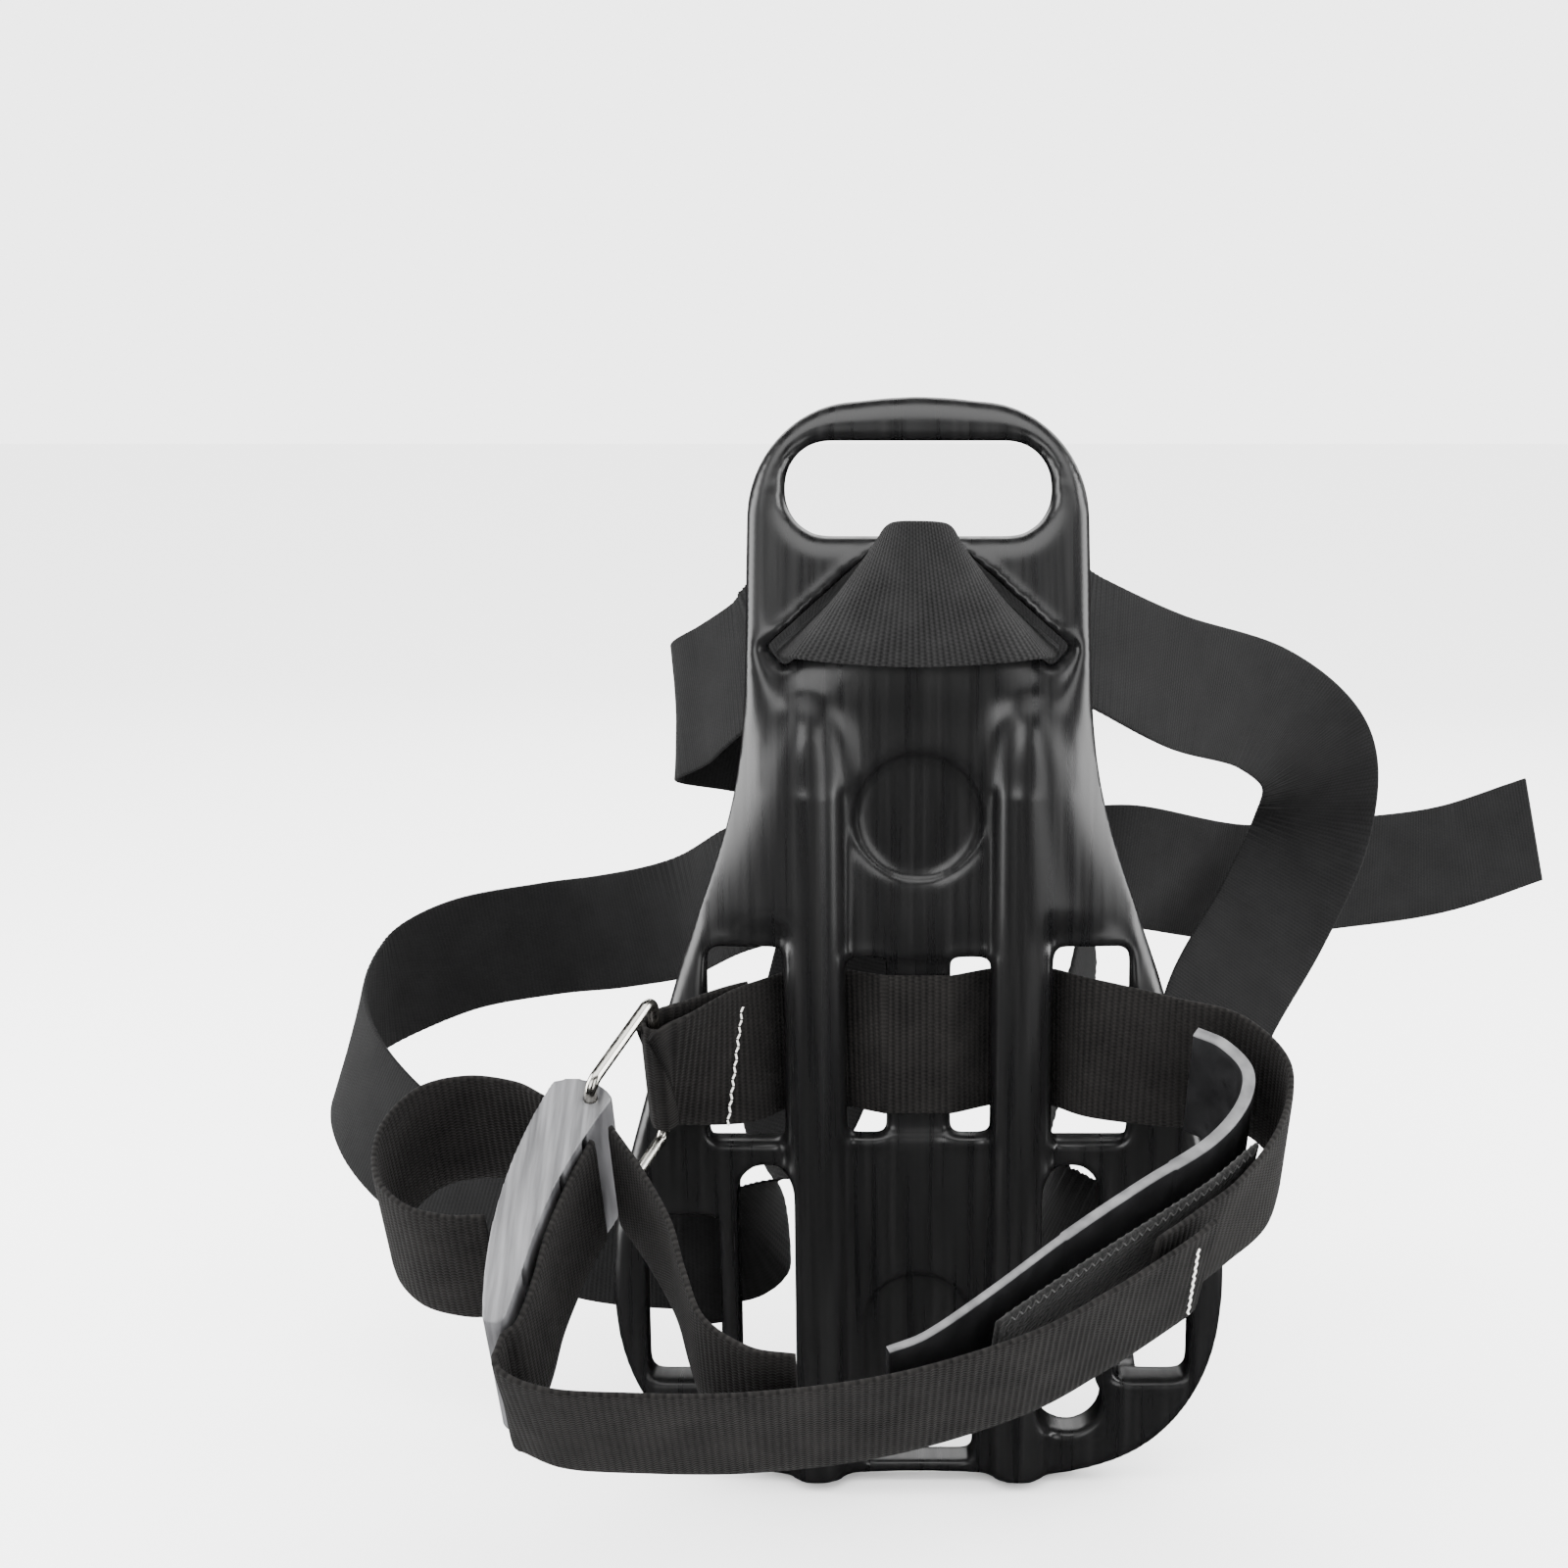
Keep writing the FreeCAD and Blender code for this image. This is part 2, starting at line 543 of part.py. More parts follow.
def lever_slot(x, out, degrees):
    """A slot through the lever's thickness that holds the webbing, turned in the band's plane."""
    half = size("web_width") / 2 + 1
    angle = math.radians(degrees)
    run = V(1, 0, 0) * math.cos(angle) + OUT * math.sin(angle)
    square = OUT * math.cos(angle) - V(1, 0, 0) * math.sin(angle)
    long_half = run * (size("lever_slot_length") / 2)
    thick_half = square * (size("lever_slot_width") / 2)
    middle = band(x, out, -half)
    face = polygon_face([middle - long_half - thick_half, middle + long_half - thick_half,
                         middle + long_half + thick_half, middle - long_half + thick_half])
    return face.extrude(ACROSS * (2 * half))


def build_lever():
    """A tapered, bowed lever with a bore for the ring and slots for the webbing."""
    width = size("lever_width")
    outer = lever_curve([(-118, 43), (-125, 66), (-129.5, 92), (-130.5, 116), (-129, 137)])
    nose = lever_arc([(-129, 137), (-125.5, 140), (-122, 137.5)])
    inner = lever_curve([(-122, 137.5), (-118.5, 116), (-114, 92), (-106, 68), (-98, 50)])
    head = lever_arc([(-98, 50), (-106.5, 42.5), (-118, 43)])
    body = Part.Face(Part.Wire([outer, nose, inner, head])).extrude(ACROSS * width)
    overrun = 5
    pivot = band(size("ring_tip_x"), size("ring_tip_out"), -width / 2 - overrun)
    bore_radius = size("wire_radius") + size("pivot_clearance")
    bore = Part.makeCylinder(bore_radius, width + 2 * overrun, pivot, ACROSS)
    slots = [lever_slot(-116, 58, 40), lever_slot(-120, 80, 12), lever_slot(-124.5, 118, 4)]
    feature("cam_lever", body.cut([bore] + slots))


# ---------------------------------------------------------------- side-release buckle
def box(name, length, width, height, x, y, z):
    """A Part box whose sides and corner follow the sheet."""
    obj = doc.addObject("Part::Box", name)
    cells = {alias: "Sizes." + alias for alias, _ in SIZES}
    rules = {"Length": length, "Width": width, "Height": height,
             "Placement.Base.x": x, "Placement.Base.y": y, "Placement.Base.z": z}
    for prop, rule in rules.items():
        obj.setExpression(prop, rule.format(**cells))
    return obj


def fuse(name, parts):
    obj = doc.addObject("Part::MultiFuse", name)
    obj.Shapes = parts
    return obj


def cut(name, base, tool):
    obj = doc.addObject("Part::Cut", name)
    obj.Base = base
    obj.Tool = tool
    return obj


def centred_y(width):
    return "{buckle_depth} - (%s) / 2" % width


def centred_z(height):
    return "{buckle_height} - (%s) / 2" % height


def build_socket():
    """The female half: a hollow shell with side windows, and a bar for the webbing."""
    shell_length = "{socket_length} - 7"
    shell = box("SocketShell", shell_length, "{buckle_thickness}", "{buckle_width}",
                "{buckle_seam} - {socket_length} + 7", centred_y("{buckle_thickness}"),
                centred_z("{buckle_width}"))
    end = box("SocketEnd", "8", "5", "{buckle_width}", "{buckle_seam} - {socket_length}",
              centred_y("5"), centred_z("{buckle_width}"))
    inner = "{buckle_thickness} - 2 * {buckle_wall}"
    tall = "{buckle_width} - 2 * {buckle_wall}"
    cavity = box("SocketCavity", "{socket_length} - 8", inner, tall,
                 "{buckle_seam} - {socket_length} + 9.5", centred_y(inner), centred_z(tall))
    windows = box("SocketWindows", "17", inner, "{buckle_width} + 4", "{buckle_seam} - 36.5",
                  centred_y(inner), centred_z("{buckle_width} + 4"))
    slot = box("SocketSlot", "4", "{buckle_thickness} + 2", "{web_width} + 3",
               "{buckle_seam} - {socket_length} + 3", centred_y("{buckle_thickness} + 2"),
               centred_z("{web_width} + 3"))
    body = fuse("SocketSolid", [shell, end])
    voids = fuse("SocketVoids", [cavity, windows, slot])
    keep(cut("SocketPart", body, voids), "buckle_socket")


def build_tongue():
    """The male half: a base, a centre guide that enters the socket, and the webbing bar."""
    base = box("TongueBase", "11", "{buckle_thickness}", "{buckle_width}", "{buckle_seam} + 0.4",
               centred_y("{buckle_thickness}"), centred_z("{buckle_width}"))
    end = box("TongueEnd", "{tongue_length} - 10", "5", "{buckle_width}", "{buckle_seam} + 10",
              centred_y("5"), centred_z("{buckle_width}"))
    guide = box("TongueGuide", "33", "4", "8", "{buckle_seam} - 30", centred_y("4"), centred_z("8"))
    slot = box("TongueSlot", "{tongue_length} - 14.4", "{buckle_thickness} + 2", "{web_width} + 3",
               "{buckle_seam} + 11.4", centred_y("{buckle_thickness} + 2"),
               centred_z("{web_width} + 3"))
    body = fuse("TongueSolid", [base, end, guide])
    keep(cut("TonguePart", body, slot), "buckle_tongue")


def build_prongs():
    """Two springy arms whose pads snap into the socket's side windows."""
    for label, name, side in (("prong_upper", "ProngUp", 1), ("prong_lower", "ProngDown", -1)):
        arm_low = "{buckle_height} + 17.5" if side > 0 else "{buckle_height} - 23.5"
        pad_low = "{buckle_height} + 20" if side > 0 else "{buckle_height} - 30.4"
        arm = box(name + "Arm", "{prong_length} - 8", "{prong_thickness}", "6",
                  "{buckle_seam} - {prong_length} + 8", centred_y("{prong_thickness}"), arm_low)
        pad = box(name + "Pad", "14", "{prong_thickness}", "10.4", "{buckle_seam} - 35",
                  centred_y("{prong_thickness}"), pad_low)
        keep(fuse(name + "Part", [arm, pad]), label)


# ---------------------------------------------------------------- stitching
def zigzag(start, end, facing, steps, swing):
    """A row of slanted stitches from start to end, on the side of the strap that facing names."""
    run = end - start
    sideways = run.cross(facing).normalize() * swing
    stitches = []
    for i in range(steps):
        side = 1 if i % 2 else -1
        a = start + run * ((i + 0.12) / steps) + sideways * side
        b = start + run * ((i + 0.88) / steps) - sideways * side
        stitches.append(Part.makeCylinder(size("thread_radius"), a.distanceToPoint(b), a, b - a))
    return stitches


def stitch_row(label, start, end, facing):
    lift = facing * (size("web_thickness") / 2 + size("thread_radius") + 1)
    row = zigzag(start + lift, end + lift, facing, int(size("stitch_count")), size("stitch_swing"))
    feature(label, Part.makeCompound(row))


def build_stitching():
    stitch_row("anchor_stitching", V(-61.5, 4.2, 176), V(-67, 0.4, 134), V(0.53, -0.85, 0))
    run = (V(1, 0, 0) * 8 - OUT * 7.5).normalize()
    facing = run.cross(LEANED).normalize()
    seam = band(84.5, 101.7)
    stitch_row("band_stitching", seam + LEANED * 20, seam - LEANED * 20, facing)


def build_all():
    build_backplate()
    build_harness()
    build_band()
    build_ring()
    build_lever()
    build_socket()
    build_tongue()
    build_prongs()
    build_stitching()


build_all()
doc.recompute()
os.makedirs("parts", exist_ok=True)
for node in NODES:
    shape = node.Shape
    if "Invalid" in node.State or "Error" in node.State or shape.isNull() or not shape.isValid():
        raise RuntimeError("sub-part %s is not sound" % node.Label)
for node in NODES:
    node.Shape.exportStep("parts/%s.step" % node.Label)
    print("%-24s %9.0f mm3  solids %d" % (node.Label, node.Shape.Volume, len(node.Shape.Solids)))
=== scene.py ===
# %% [markdown]
# # A back frame for one breathing-gas cylinder
# The object is a black moulded plate that a firefighter or diver wears on the back. Two ridges
# cradle the cylinder, a cam-buckle band clamps it, and a webbing harness goes round the wearer. The
# CAD model already has every size and every joint, so this lesson only gives it its finished look:
# moulded plastic, ribbed webbing, drawn wire and thread, all placed from the CAD frame in metres.

# %% Load the frame
import math
import bmesh
import bpy
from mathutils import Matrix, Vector
from mathutils.bvhtree import BVHTree
from mathutils.kdtree import KDTree


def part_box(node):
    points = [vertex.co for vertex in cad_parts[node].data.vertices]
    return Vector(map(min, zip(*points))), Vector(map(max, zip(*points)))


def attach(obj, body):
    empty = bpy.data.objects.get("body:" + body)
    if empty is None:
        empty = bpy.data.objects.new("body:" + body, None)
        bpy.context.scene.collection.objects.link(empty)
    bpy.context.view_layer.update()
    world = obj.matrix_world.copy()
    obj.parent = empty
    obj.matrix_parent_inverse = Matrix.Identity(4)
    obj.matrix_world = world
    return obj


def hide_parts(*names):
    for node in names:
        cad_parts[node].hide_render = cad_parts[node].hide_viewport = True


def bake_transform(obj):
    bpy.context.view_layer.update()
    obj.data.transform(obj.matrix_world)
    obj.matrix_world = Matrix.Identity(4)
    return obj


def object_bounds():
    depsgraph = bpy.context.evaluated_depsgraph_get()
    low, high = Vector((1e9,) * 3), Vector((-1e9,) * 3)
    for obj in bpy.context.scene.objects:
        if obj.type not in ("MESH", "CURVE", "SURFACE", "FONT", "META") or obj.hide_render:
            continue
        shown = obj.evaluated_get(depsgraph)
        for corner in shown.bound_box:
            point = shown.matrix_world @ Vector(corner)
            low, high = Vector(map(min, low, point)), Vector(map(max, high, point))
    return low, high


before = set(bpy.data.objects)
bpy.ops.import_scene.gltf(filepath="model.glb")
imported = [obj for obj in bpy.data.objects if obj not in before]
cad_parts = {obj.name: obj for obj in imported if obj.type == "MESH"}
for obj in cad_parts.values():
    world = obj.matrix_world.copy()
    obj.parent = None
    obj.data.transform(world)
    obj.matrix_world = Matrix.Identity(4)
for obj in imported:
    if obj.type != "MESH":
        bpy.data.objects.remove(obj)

cad_low, cad_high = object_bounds()
MM = 0.001
print("CAD box", [round(v, 3) for v in cad_low], [round(v, 3) for v in cad_high])

# %% [markdown]
# ## Camera
# The frame stands upright and is seen from a little above, straight at the cylinder side. A lens
# shift, rather than a turned camera, puts the plate right of the middle, so its sides stay upright.
# The camera comes first.

# %% Camera
CAMERA_PITCH = math.radians(14)
CAMERA_REACH = 0.85
AIM = Vector((0, 0, 0.198))
look = Vector((0, math.cos(CAMERA_PITCH), -math.sin(CAMERA_PITCH)))
camera_data = bpy.data.cameras.new("camera")
camera_data.lens = 57.4
camera_data.sensor_width = 36
camera_data.shift_x = -0.0856
camera_data.shift_y = 0.103
camera = bpy.data.objects.new("camera", camera_data)
camera.location = AIM - look * CAMERA_REACH
camera.rotation_euler = (math.radians(90) - CAMERA_PITCH, 0, 0)
bpy.context.collection.objects.link(camera)
bpy.context.scene.camera = camera
print("camera at", [round(v, 3) for v in camera.location])

# %% [markdown]
# ## Floor and studio light
# Black plastic shows its form mostly through what it mirrors, so the light is built from broad soft
# panels: one on each side and a little behind, which draw pale edges along the rounded flanks, one
# above for the upper edges, two in front for the weave, and one far behind for the wearer's side.
# The pale world lights the scene evenly, but the world and the floor stay out of the reflections, so
# that faces turned to the camera stay black. The world joins the scene before it is hidden from them,
# because Blender refreshes the scene's world at that moment.

# %% Floor
def pale_floor():
    bm = bmesh.new()
    bmesh.ops.create_grid(bm, x_segments=1, y_segments=1, size=8)
    mesh = bpy.data.meshes.new("floor")
    bm.to_mesh(mesh)
    bm.free()
    obj = bpy.data.objects.new("floor", mesh)
    bpy.context.collection.objects.link(obj)
    obj.location.z = cad_low.z - 0.0004
    return obj


floor = pale_floor()
floor.visible_glossy = False
print("floor at", round(floor.location.z, 4))

# %% Soft panels
MIDDLE = Vector((0, 0, 0.19))


def soft_panel(name, place, width, height, power):
    data = bpy.data.lights.new(name, "AREA")
    data.shape = "RECTANGLE"
    data.size = width
    data.size_y = height
    data.energy = power
    obj = bpy.data.objects.new(name, data)
    obj.location = place
    obj.rotation_euler = (MIDDLE - Vector(place)).to_track_quat("-Z", "Y").to_euler()
    bpy.context.collection.objects.link(obj)
    return obj


soft_panel("left_side", (-1.25, 0.1, 0.55), 0.8, 1.5, 34)
soft_panel("right_side", (1.3, 0.05, 0.6), 0.8, 1.5, 34)
soft_panel("overhead", (0.0, -0.15, 1.4), 1.5, 0.9, 16)
soft_panel("front_left", (-0.75, -1.5, 0.9), 0.9, 1.2, 16)
soft_panel("front_right", (0.9, -1.3, 0.5), 0.7, 1.2, 9)
soft_panel("behind", (0.2, 1.6, 0.9), 2.2, 0.8, 14)
WORLD_STRENGTH = 4.0
world = bpy.data.worlds.new("studio")
world.use_nodes = True
world.node_tree.nodes["Background"].inputs[0].default_value = (1, 1, 1, 1)
world.node_tree.nodes["Background"].inputs[1].default_value = WORLD_STRENGTH
bpy.context.scene.world = world
world.cycles_visibility.glossy = False

# %% [markdown]
# ## A small kit for materials
# Every finish here is a Principled shader with plain values, plus a few textures that vary them.
# The helpers below add one node each, so that a finish reads as a short recipe. Patterns follow
# Object coordinates, which stay with the piece in every pose.

# %% Material helpers
def material(name, color, roughness, **sockets):
    made = bpy.data.materials.new(name)
    made.use_nodes = True
    shader = made.node_tree.nodes["Principled BSDF"]
    shader.inputs["Base Color"].default_value = (*color, 1)
    shader.inputs["Roughness"].default_value = roughness
    for socket, value in sockets.items():
        shader.inputs[socket.replace("_", " ")].default_value = value
    return made


def node(mat, kind, inputs, **settings):
    made = mat.node_tree.nodes.new(kind)
    for key, value in settings.items():
        setattr(made, key, value)
    for key, value in inputs.items():
        if isinstance(value, bpy.types.NodeSocket):
            mat.node_tree.links.new(value, made.inputs[key])
        else:
            made.inputs[key].default_value = value
    return made


def plug(mat, output, socket):
    mat.node_tree.links.new(output, mat.node_tree.nodes["Principled BSDF"].inputs[socket])


def noise(mat, scale, stretch=(1, 1, 1), detail=3.0):
    coords = node(mat, "ShaderNodeTexCoord", {})
    placed = node(mat, "ShaderNodeMapping", {"Vector": coords.outputs["Object"], "Scale": stretch})
    inputs = {"Vector": placed.outputs[0], "Scale": scale, "Detail": detail}
    texture = node(mat, "ShaderNodeTexNoise", inputs)
    return texture.outputs["Fac"]


def maths(mat, operation, first, second=0.0):
    return node(mat, "ShaderNodeMath", {0: first, 1: second}, operation=operation).outputs[0]


def spread(mat, value, low, high, from_low=0.3, from_high=0.7):
    """Stretches a texture's middle values to run from low to high."""
    inputs = {"Value": value, "From Min": from_low, "From Max": from_high, "To Min": low, "To Max": high}
    return node(mat, "ShaderNodeMapRange", inputs).outputs[0]


def tint(mat, factor, dark, light):
    inputs = {0: factor, 6: (*dark, 1), 7: (*light, 1)}
    return node(mat, "ShaderNodeMix", inputs, data_type="RGBA").outputs[2]


def bump(mat, height, strength, distance, under=None):
    inputs = {"Height": height, "Strength": strength, "Distance": distance}
    if under is not None:
        inputs["Normal"] = under
    return node(mat, "ShaderNodeBump", inputs).outputs["Normal"]


floor.data.materials.append(material("pale_floor", (0.97, 0.97, 0.97), 0.8))
print("material kit ready")

# %% [markdown]
# ## Moulded plastics
# The plate is blow-moulded polyethylene. It is nearly black and satin, with flow lines that run up
# it from the mould and catch the light as fine streaks. One recipe serves all the plastics: long
# thin noise for the streaks in gloss and colour, a fine grain, and slow waves in the surface. The
# colours, the gloss and the direction of the streaks differ from piece to piece.

# %% Plastics
def streaked_plastic(name, dark, light, gloss, streaks, streak_scale, wave=0.0006):
    mat = material(name, dark, gloss[0])
    flow = noise(mat, streak_scale, streaks, 5.0)
    plug(mat, tint(mat, spread(mat, flow, 0, 1), dark, light), "Base Color")
    plug(mat, spread(mat, flow, gloss[0], gloss[1]), "Roughness")
    grain = bump(mat, noise(mat, 1500.0), 0.1, 0.0002)
    plug(mat, bump(mat, noise(mat, 24.0, (1, 1, 0.4), 2.0), 0.25, wave, grain), "Normal")
    return mat


UPRIGHT = (1.0, 0.03, 0.03)
FRAME_PLASTIC = streaked_plastic("frame_plastic", (0.0026, 0.0026, 0.0028), (0.0062, 0.0061, 0.0063),
                                 (0.24, 0.36), UPRIGHT, 300.0)
LEVER_PLASTIC = streaked_plastic("lever_plastic", (0.035, 0.035, 0.037), (0.12, 0.12, 0.125),
                                 (0.3, 0.5), (1.0, 0.05, 0.08), 420.0, 0.0002)
BUCKLE_PLASTIC = streaked_plastic("buckle_plastic", (0.0015, 0.0015, 0.0016), (0.0035, 0.0035, 0.0037),
                                  (0.3, 0.42), (1, 1, 1), 200.0, 0.0002)
PAD_RUBBER = streaked_plastic("pad_rubber", (0.006, 0.006, 0.0066), (0.011, 0.011, 0.012),
                              (0.36, 0.52), (1, 1, 1), 160.0, 0.0003)
# Painted highlight: a lighter copy of the pad rubber for the pad's upper edge, where light from above
# falls.
PAD_PAINTED_HIGHLIGHT = streaked_plastic("pad_rubber_painted_highlight", (0.05, 0.05, 0.052), (0.11, 0.11, 0.112), (0.4, 0.55),
                           (1, 1, 1), 160.0, 0.0003)
print("plastics", FRAME_PLASTIC.name, LEVER_PLASTIC.name, BUCKLE_PLASTIC.name, PAD_RUBBER.name)

# %% [markdown]
# ## Webbing finishes
# Webbing is woven in ribs that cross the strap, and each rib is a row of yarn beads, offset from row
# to row. Only the big ribs of the cylinder band are real geometry, made further down, because they
# show on its edges. The fine ribs of the harness and the beads are drawn by the material, in bump and
# in colour, and the colour is painted shade and highlight: darker in the weave's grooves and lighter
# on its crowns, with random wear mottling on top. It reads the strap's own UV map, in metres along and
# across, and so the weave follows every bend and twist.

# %% Webbing
RIB_PITCH = 2.3 * MM
FINE_PITCH = 1.5 * MM
YARN_PITCH = 1.4 * MM


def webbing(name, dark, light, rib_pitch, depth):
    mat = material(name, dark, 0.85, Sheen_Weight=0.02, Sheen_Roughness=0.5, Specular_IOR_Level=0.12)
    weave_map = node(mat, "ShaderNodeUVMap", {}, uv_map="weave")
    place = node(mat, "ShaderNodeSeparateXYZ", {0: weave_map.outputs[0]})
    along = maths(mat, "DIVIDE", place.outputs[0], rib_pitch)
    across = maths(mat, "DIVIDE", place.outputs[1], YARN_PITCH)
    offset = maths(mat, "MULTIPLY", maths(mat, "FLOOR", along), 0.5)
    turns = maths(mat, "MULTIPLY", maths(mat, "ADD", across, offset), 2 * math.pi)
    beads = maths(mat, "MULTIPLY", maths(mat, "SINE", turns), 0.6)
    ribs = maths(mat, "SINE", maths(mat, "MULTIPLY", along, 2 * math.pi))
    weave = maths(mat, "ADD", beads, ribs)
    wear = noise(mat, 70.0, (1, 1, 1), 6.0)
    # Painted shade and highlight: the weave's grooves are darker and its crowns lighter; random wear
    # mottling is added.
    painted_shade_and_wear = maths(mat, "ADD", spread(mat, weave, 0.0, 0.65, -1.6, 1.6), spread(mat, wear, 0.0, 0.35))
    plug(mat, tint(mat, painted_shade_and_wear, dark, light), "Base Color")
    fibre = bump(mat, noise(mat, 3000.0), 0.4, 0.0003)
    plug(mat, bump(mat, weave, 0.5, depth, fibre), "Normal")
    return mat


HARNESS_WEBBING = webbing("harness_webbing", (0.0022, 0.0022, 0.0023), (0.006, 0.006, 0.0062),
                          FINE_PITCH, 0.00008)
BAND_WEBBING = webbing("band_webbing", (0.0011, 0.001, 0.001), (0.0105, 0.0096, 0.009),
                       RIB_PITCH, 0.0003)
TAB_WEBBING = webbing("tab_webbing", (0.0016, 0.0016, 0.0017), (0.016, 0.0158, 0.016), FINE_PITCH, 0.0004)
print("webbing", HARNESS_WEBBING.name, BAND_WEBBING.name, TAB_WEBBING.name)

# %% [markdown]
# ## Fleece, wire and thread
# The loop side of hook-and-loop tape is a mat of tiny curls, so its bump is coarse, and it has only a
# little sheen. The wire ring is drawn steel: bright, with a little unevenness from handling. White thread
# marks the two safety seams, and dark thread is used for the others.

# %% Fleece, wire and thread
def fleece():
    mat = material("hook_and_loop", (0.004, 0.004, 0.004), 0.95, Sheen_Weight=0.06, Sheen_Roughness=0.6,
                   Specular_IOR_Level=0.15)
    curls = noise(mat, 650.0, (1, 1, 1), 6.0)
    colour = tint(mat, spread(mat, curls, 0, 1), (0.001, 0.001, 0.001), (0.006, 0.0057, 0.0055))
    plug(mat, colour, "Base Color")
    plug(mat, bump(mat, curls, 0.9, 0.0014), "Normal")
    return mat


def drawn_steel():
    mat = material("ring_steel", (0.6, 0.58, 0.54), 0.22, Metallic=1.0)
    handled = noise(mat, 240.0, (1, 1, 1), 4.0)
    plug(mat, spread(mat, handled, 0.14, 0.32), "Roughness")
    plug(mat, tint(mat, handled, (0.5, 0.48, 0.43), (0.78, 0.76, 0.71)), "Base Color")
    plug(mat, bump(mat, noise(mat, 700.0), 0.1, 0.0002), "Normal")
    return mat


def thread(name, dark, light):
    mat = material(name, light, 0.75, Sheen_Weight=0.2)
    twist = noise(mat, 2200.0, (1, 1, 1), 2.0)
    plug(mat, tint(mat, twist, dark, light), "Base Color")
    plug(mat, bump(mat, twist, 0.5, 0.0002), "Normal")
    return mat


FLEECE = fleece()
STEEL = drawn_steel()
WHITE_THREAD = thread("white_thread", (0.5, 0.49, 0.46), (0.9, 0.88, 0.85))
DARK_THREAD = thread("dark_thread", (0.008, 0.008, 0.008), (0.03, 0.029, 0.028))
print("finishes", FLEECE.name, STEEL.name, WHITE_THREAD.name, DARK_THREAD.name)


# %% Finishing a piece
def finish_piece(bm, name, mat):
    """Writes a bmesh to an object at the origin, with its material."""
    mesh = bpy.data.meshes.new(name)
    bm.to_mesh(mesh)
    bm.free()
    mesh.materials.append(mat)
    for face in mesh.polygons:
        face.use_smooth = True
    obj = bpy.data.objects.new(name, mesh)
    bpy.context.collection.objects.link(obj)
    return obj


print("pieces are finished with finish_piece")

# %% [markdown]
# ## The line of a strap
# A strap is a flat tube that follows stations: a centre and the direction of its width at each. A
# smooth curve runs through the stations, and is cut into even steps, so that ribs come out evenly.
# The cylinder band lies in a plane that droops from the plate, and band() names a point of it by its
# place sideways, outwards and up the width.

# %% Smooth lines
UP = (0, 0, 1)
DROOP = math.radians(30)
OUT = Vector((0, -math.cos(DROOP), -math.sin(DROOP)))
ACROSS = Vector((0, -math.sin(DROOP), math.cos(DROOP)))
BAND_START = Vector((0, -1.8, 163.8))
FRONT_LEAN = math.radians(8)
LEANED = ACROSS * math.cos(FRONT_LEAN) + OUT * math.sin(FRONT_LEAN)


def band(x, reach, rise=0.0):
    """A point in the band's drooping plane, in millimetres."""
    return BAND_START + Vector((x, 0, 0)) + OUT * reach + ACROSS * rise


def on_band(points, width_direction=ACROSS):
    return [(band(x, out), width_direction) for x, out in points]


def smooth_line(points, per_span=12):
    ends = [points[0] * 2 - points[1]] + points + [points[-1] * 2 - points[-2]]
    line = []
    for a, b, c, d in zip(ends, ends[1:], ends[2:], ends[3:]):
        for step in range(per_span):
            u = step / per_span
            line.append((b * 2 + (c - a) * u + (a * 2 - b * 5 + c * 4 - d) * u ** 2
                         + (b * 3 - a - c * 3 + d) * u ** 3) * 0.5)
    return line + [points[-1]]


def even_frames(stations, step, square=True):
    """Evenly spaced (distance, centre, width direction, face direction) along a strap."""
    centres = smooth_line([Vector(centre) for centre, _ in stations])
    widths = smooth_line([Vector(width) for _, width in stations])
    reached = [0.0]
    for a, b in zip(centres, centres[1:]):
        reached.append(reached[-1] + (b - a).length)
    count = max(8, int(reached[-1] / step))
    frames = []
    k = 0
    for i in range(count + 1):
        goal = reached[-1] * i / count
        while k < len(centres) - 2 and reached[k + 1] < goal:
            k += 1
        t = (goal - reached[k]) / max(reached[k + 1] - reached[k], 1e-9)
        run = (centres[min(k + 2, len(centres) - 1)] - centres[max(k - 1, 0)]).normalized()
        width = widths[k].lerp(widths[k + 1], t)
        if square:
            width = width - run * width.dot(run)
        width.normalize()
        frames.append((goal, centres[k].lerp(centres[k + 1], t), width, run.cross(width).normalized()))
    return frames


print("band plane leaves the plate at z =", BAND_START.z, "mm")

# %% [markdown]
# ## The body of a strap
# A bmesh grid is one sheet of faces: its first direction becomes the strap's length, and its second
# wraps once round a flat section with rounded selvedges. Merging doubles closes the wrap, and the two
# open ends are filled. A curve with a flat bevel could follow the line too, but a grid keeps an even
# UV map and lets every face row swell into a rib.

# %% Flat section
WEB_WIDTH = 50.0
WEB_THICK = 1.8


def flat_section(width, thickness, edge, faces=12, corner=3):
    """Points once round a strip: across, height, and whether ribs raise them."""
    half = width / 2 - edge
    lift = thickness / 2 - edge
    points = []
    for side in (1, -1):
        for i in range(faces + 1):
            points.append((half * (1 - 2 * i / faces) * side, (lift + edge) * side, 0 < i < faces))
        turns = [math.pi * i / (2 * corner) for i in range(1, 2 * corner)]
        for angle in turns:
            bulge = math.copysign(lift, math.cos(angle)) if abs(math.cos(angle)) > 1e-6 else 0.0
            across = -(half + edge * math.sin(angle)) * side
            points.append((across, (bulge + edge * math.cos(angle)) * side, False))
    return points


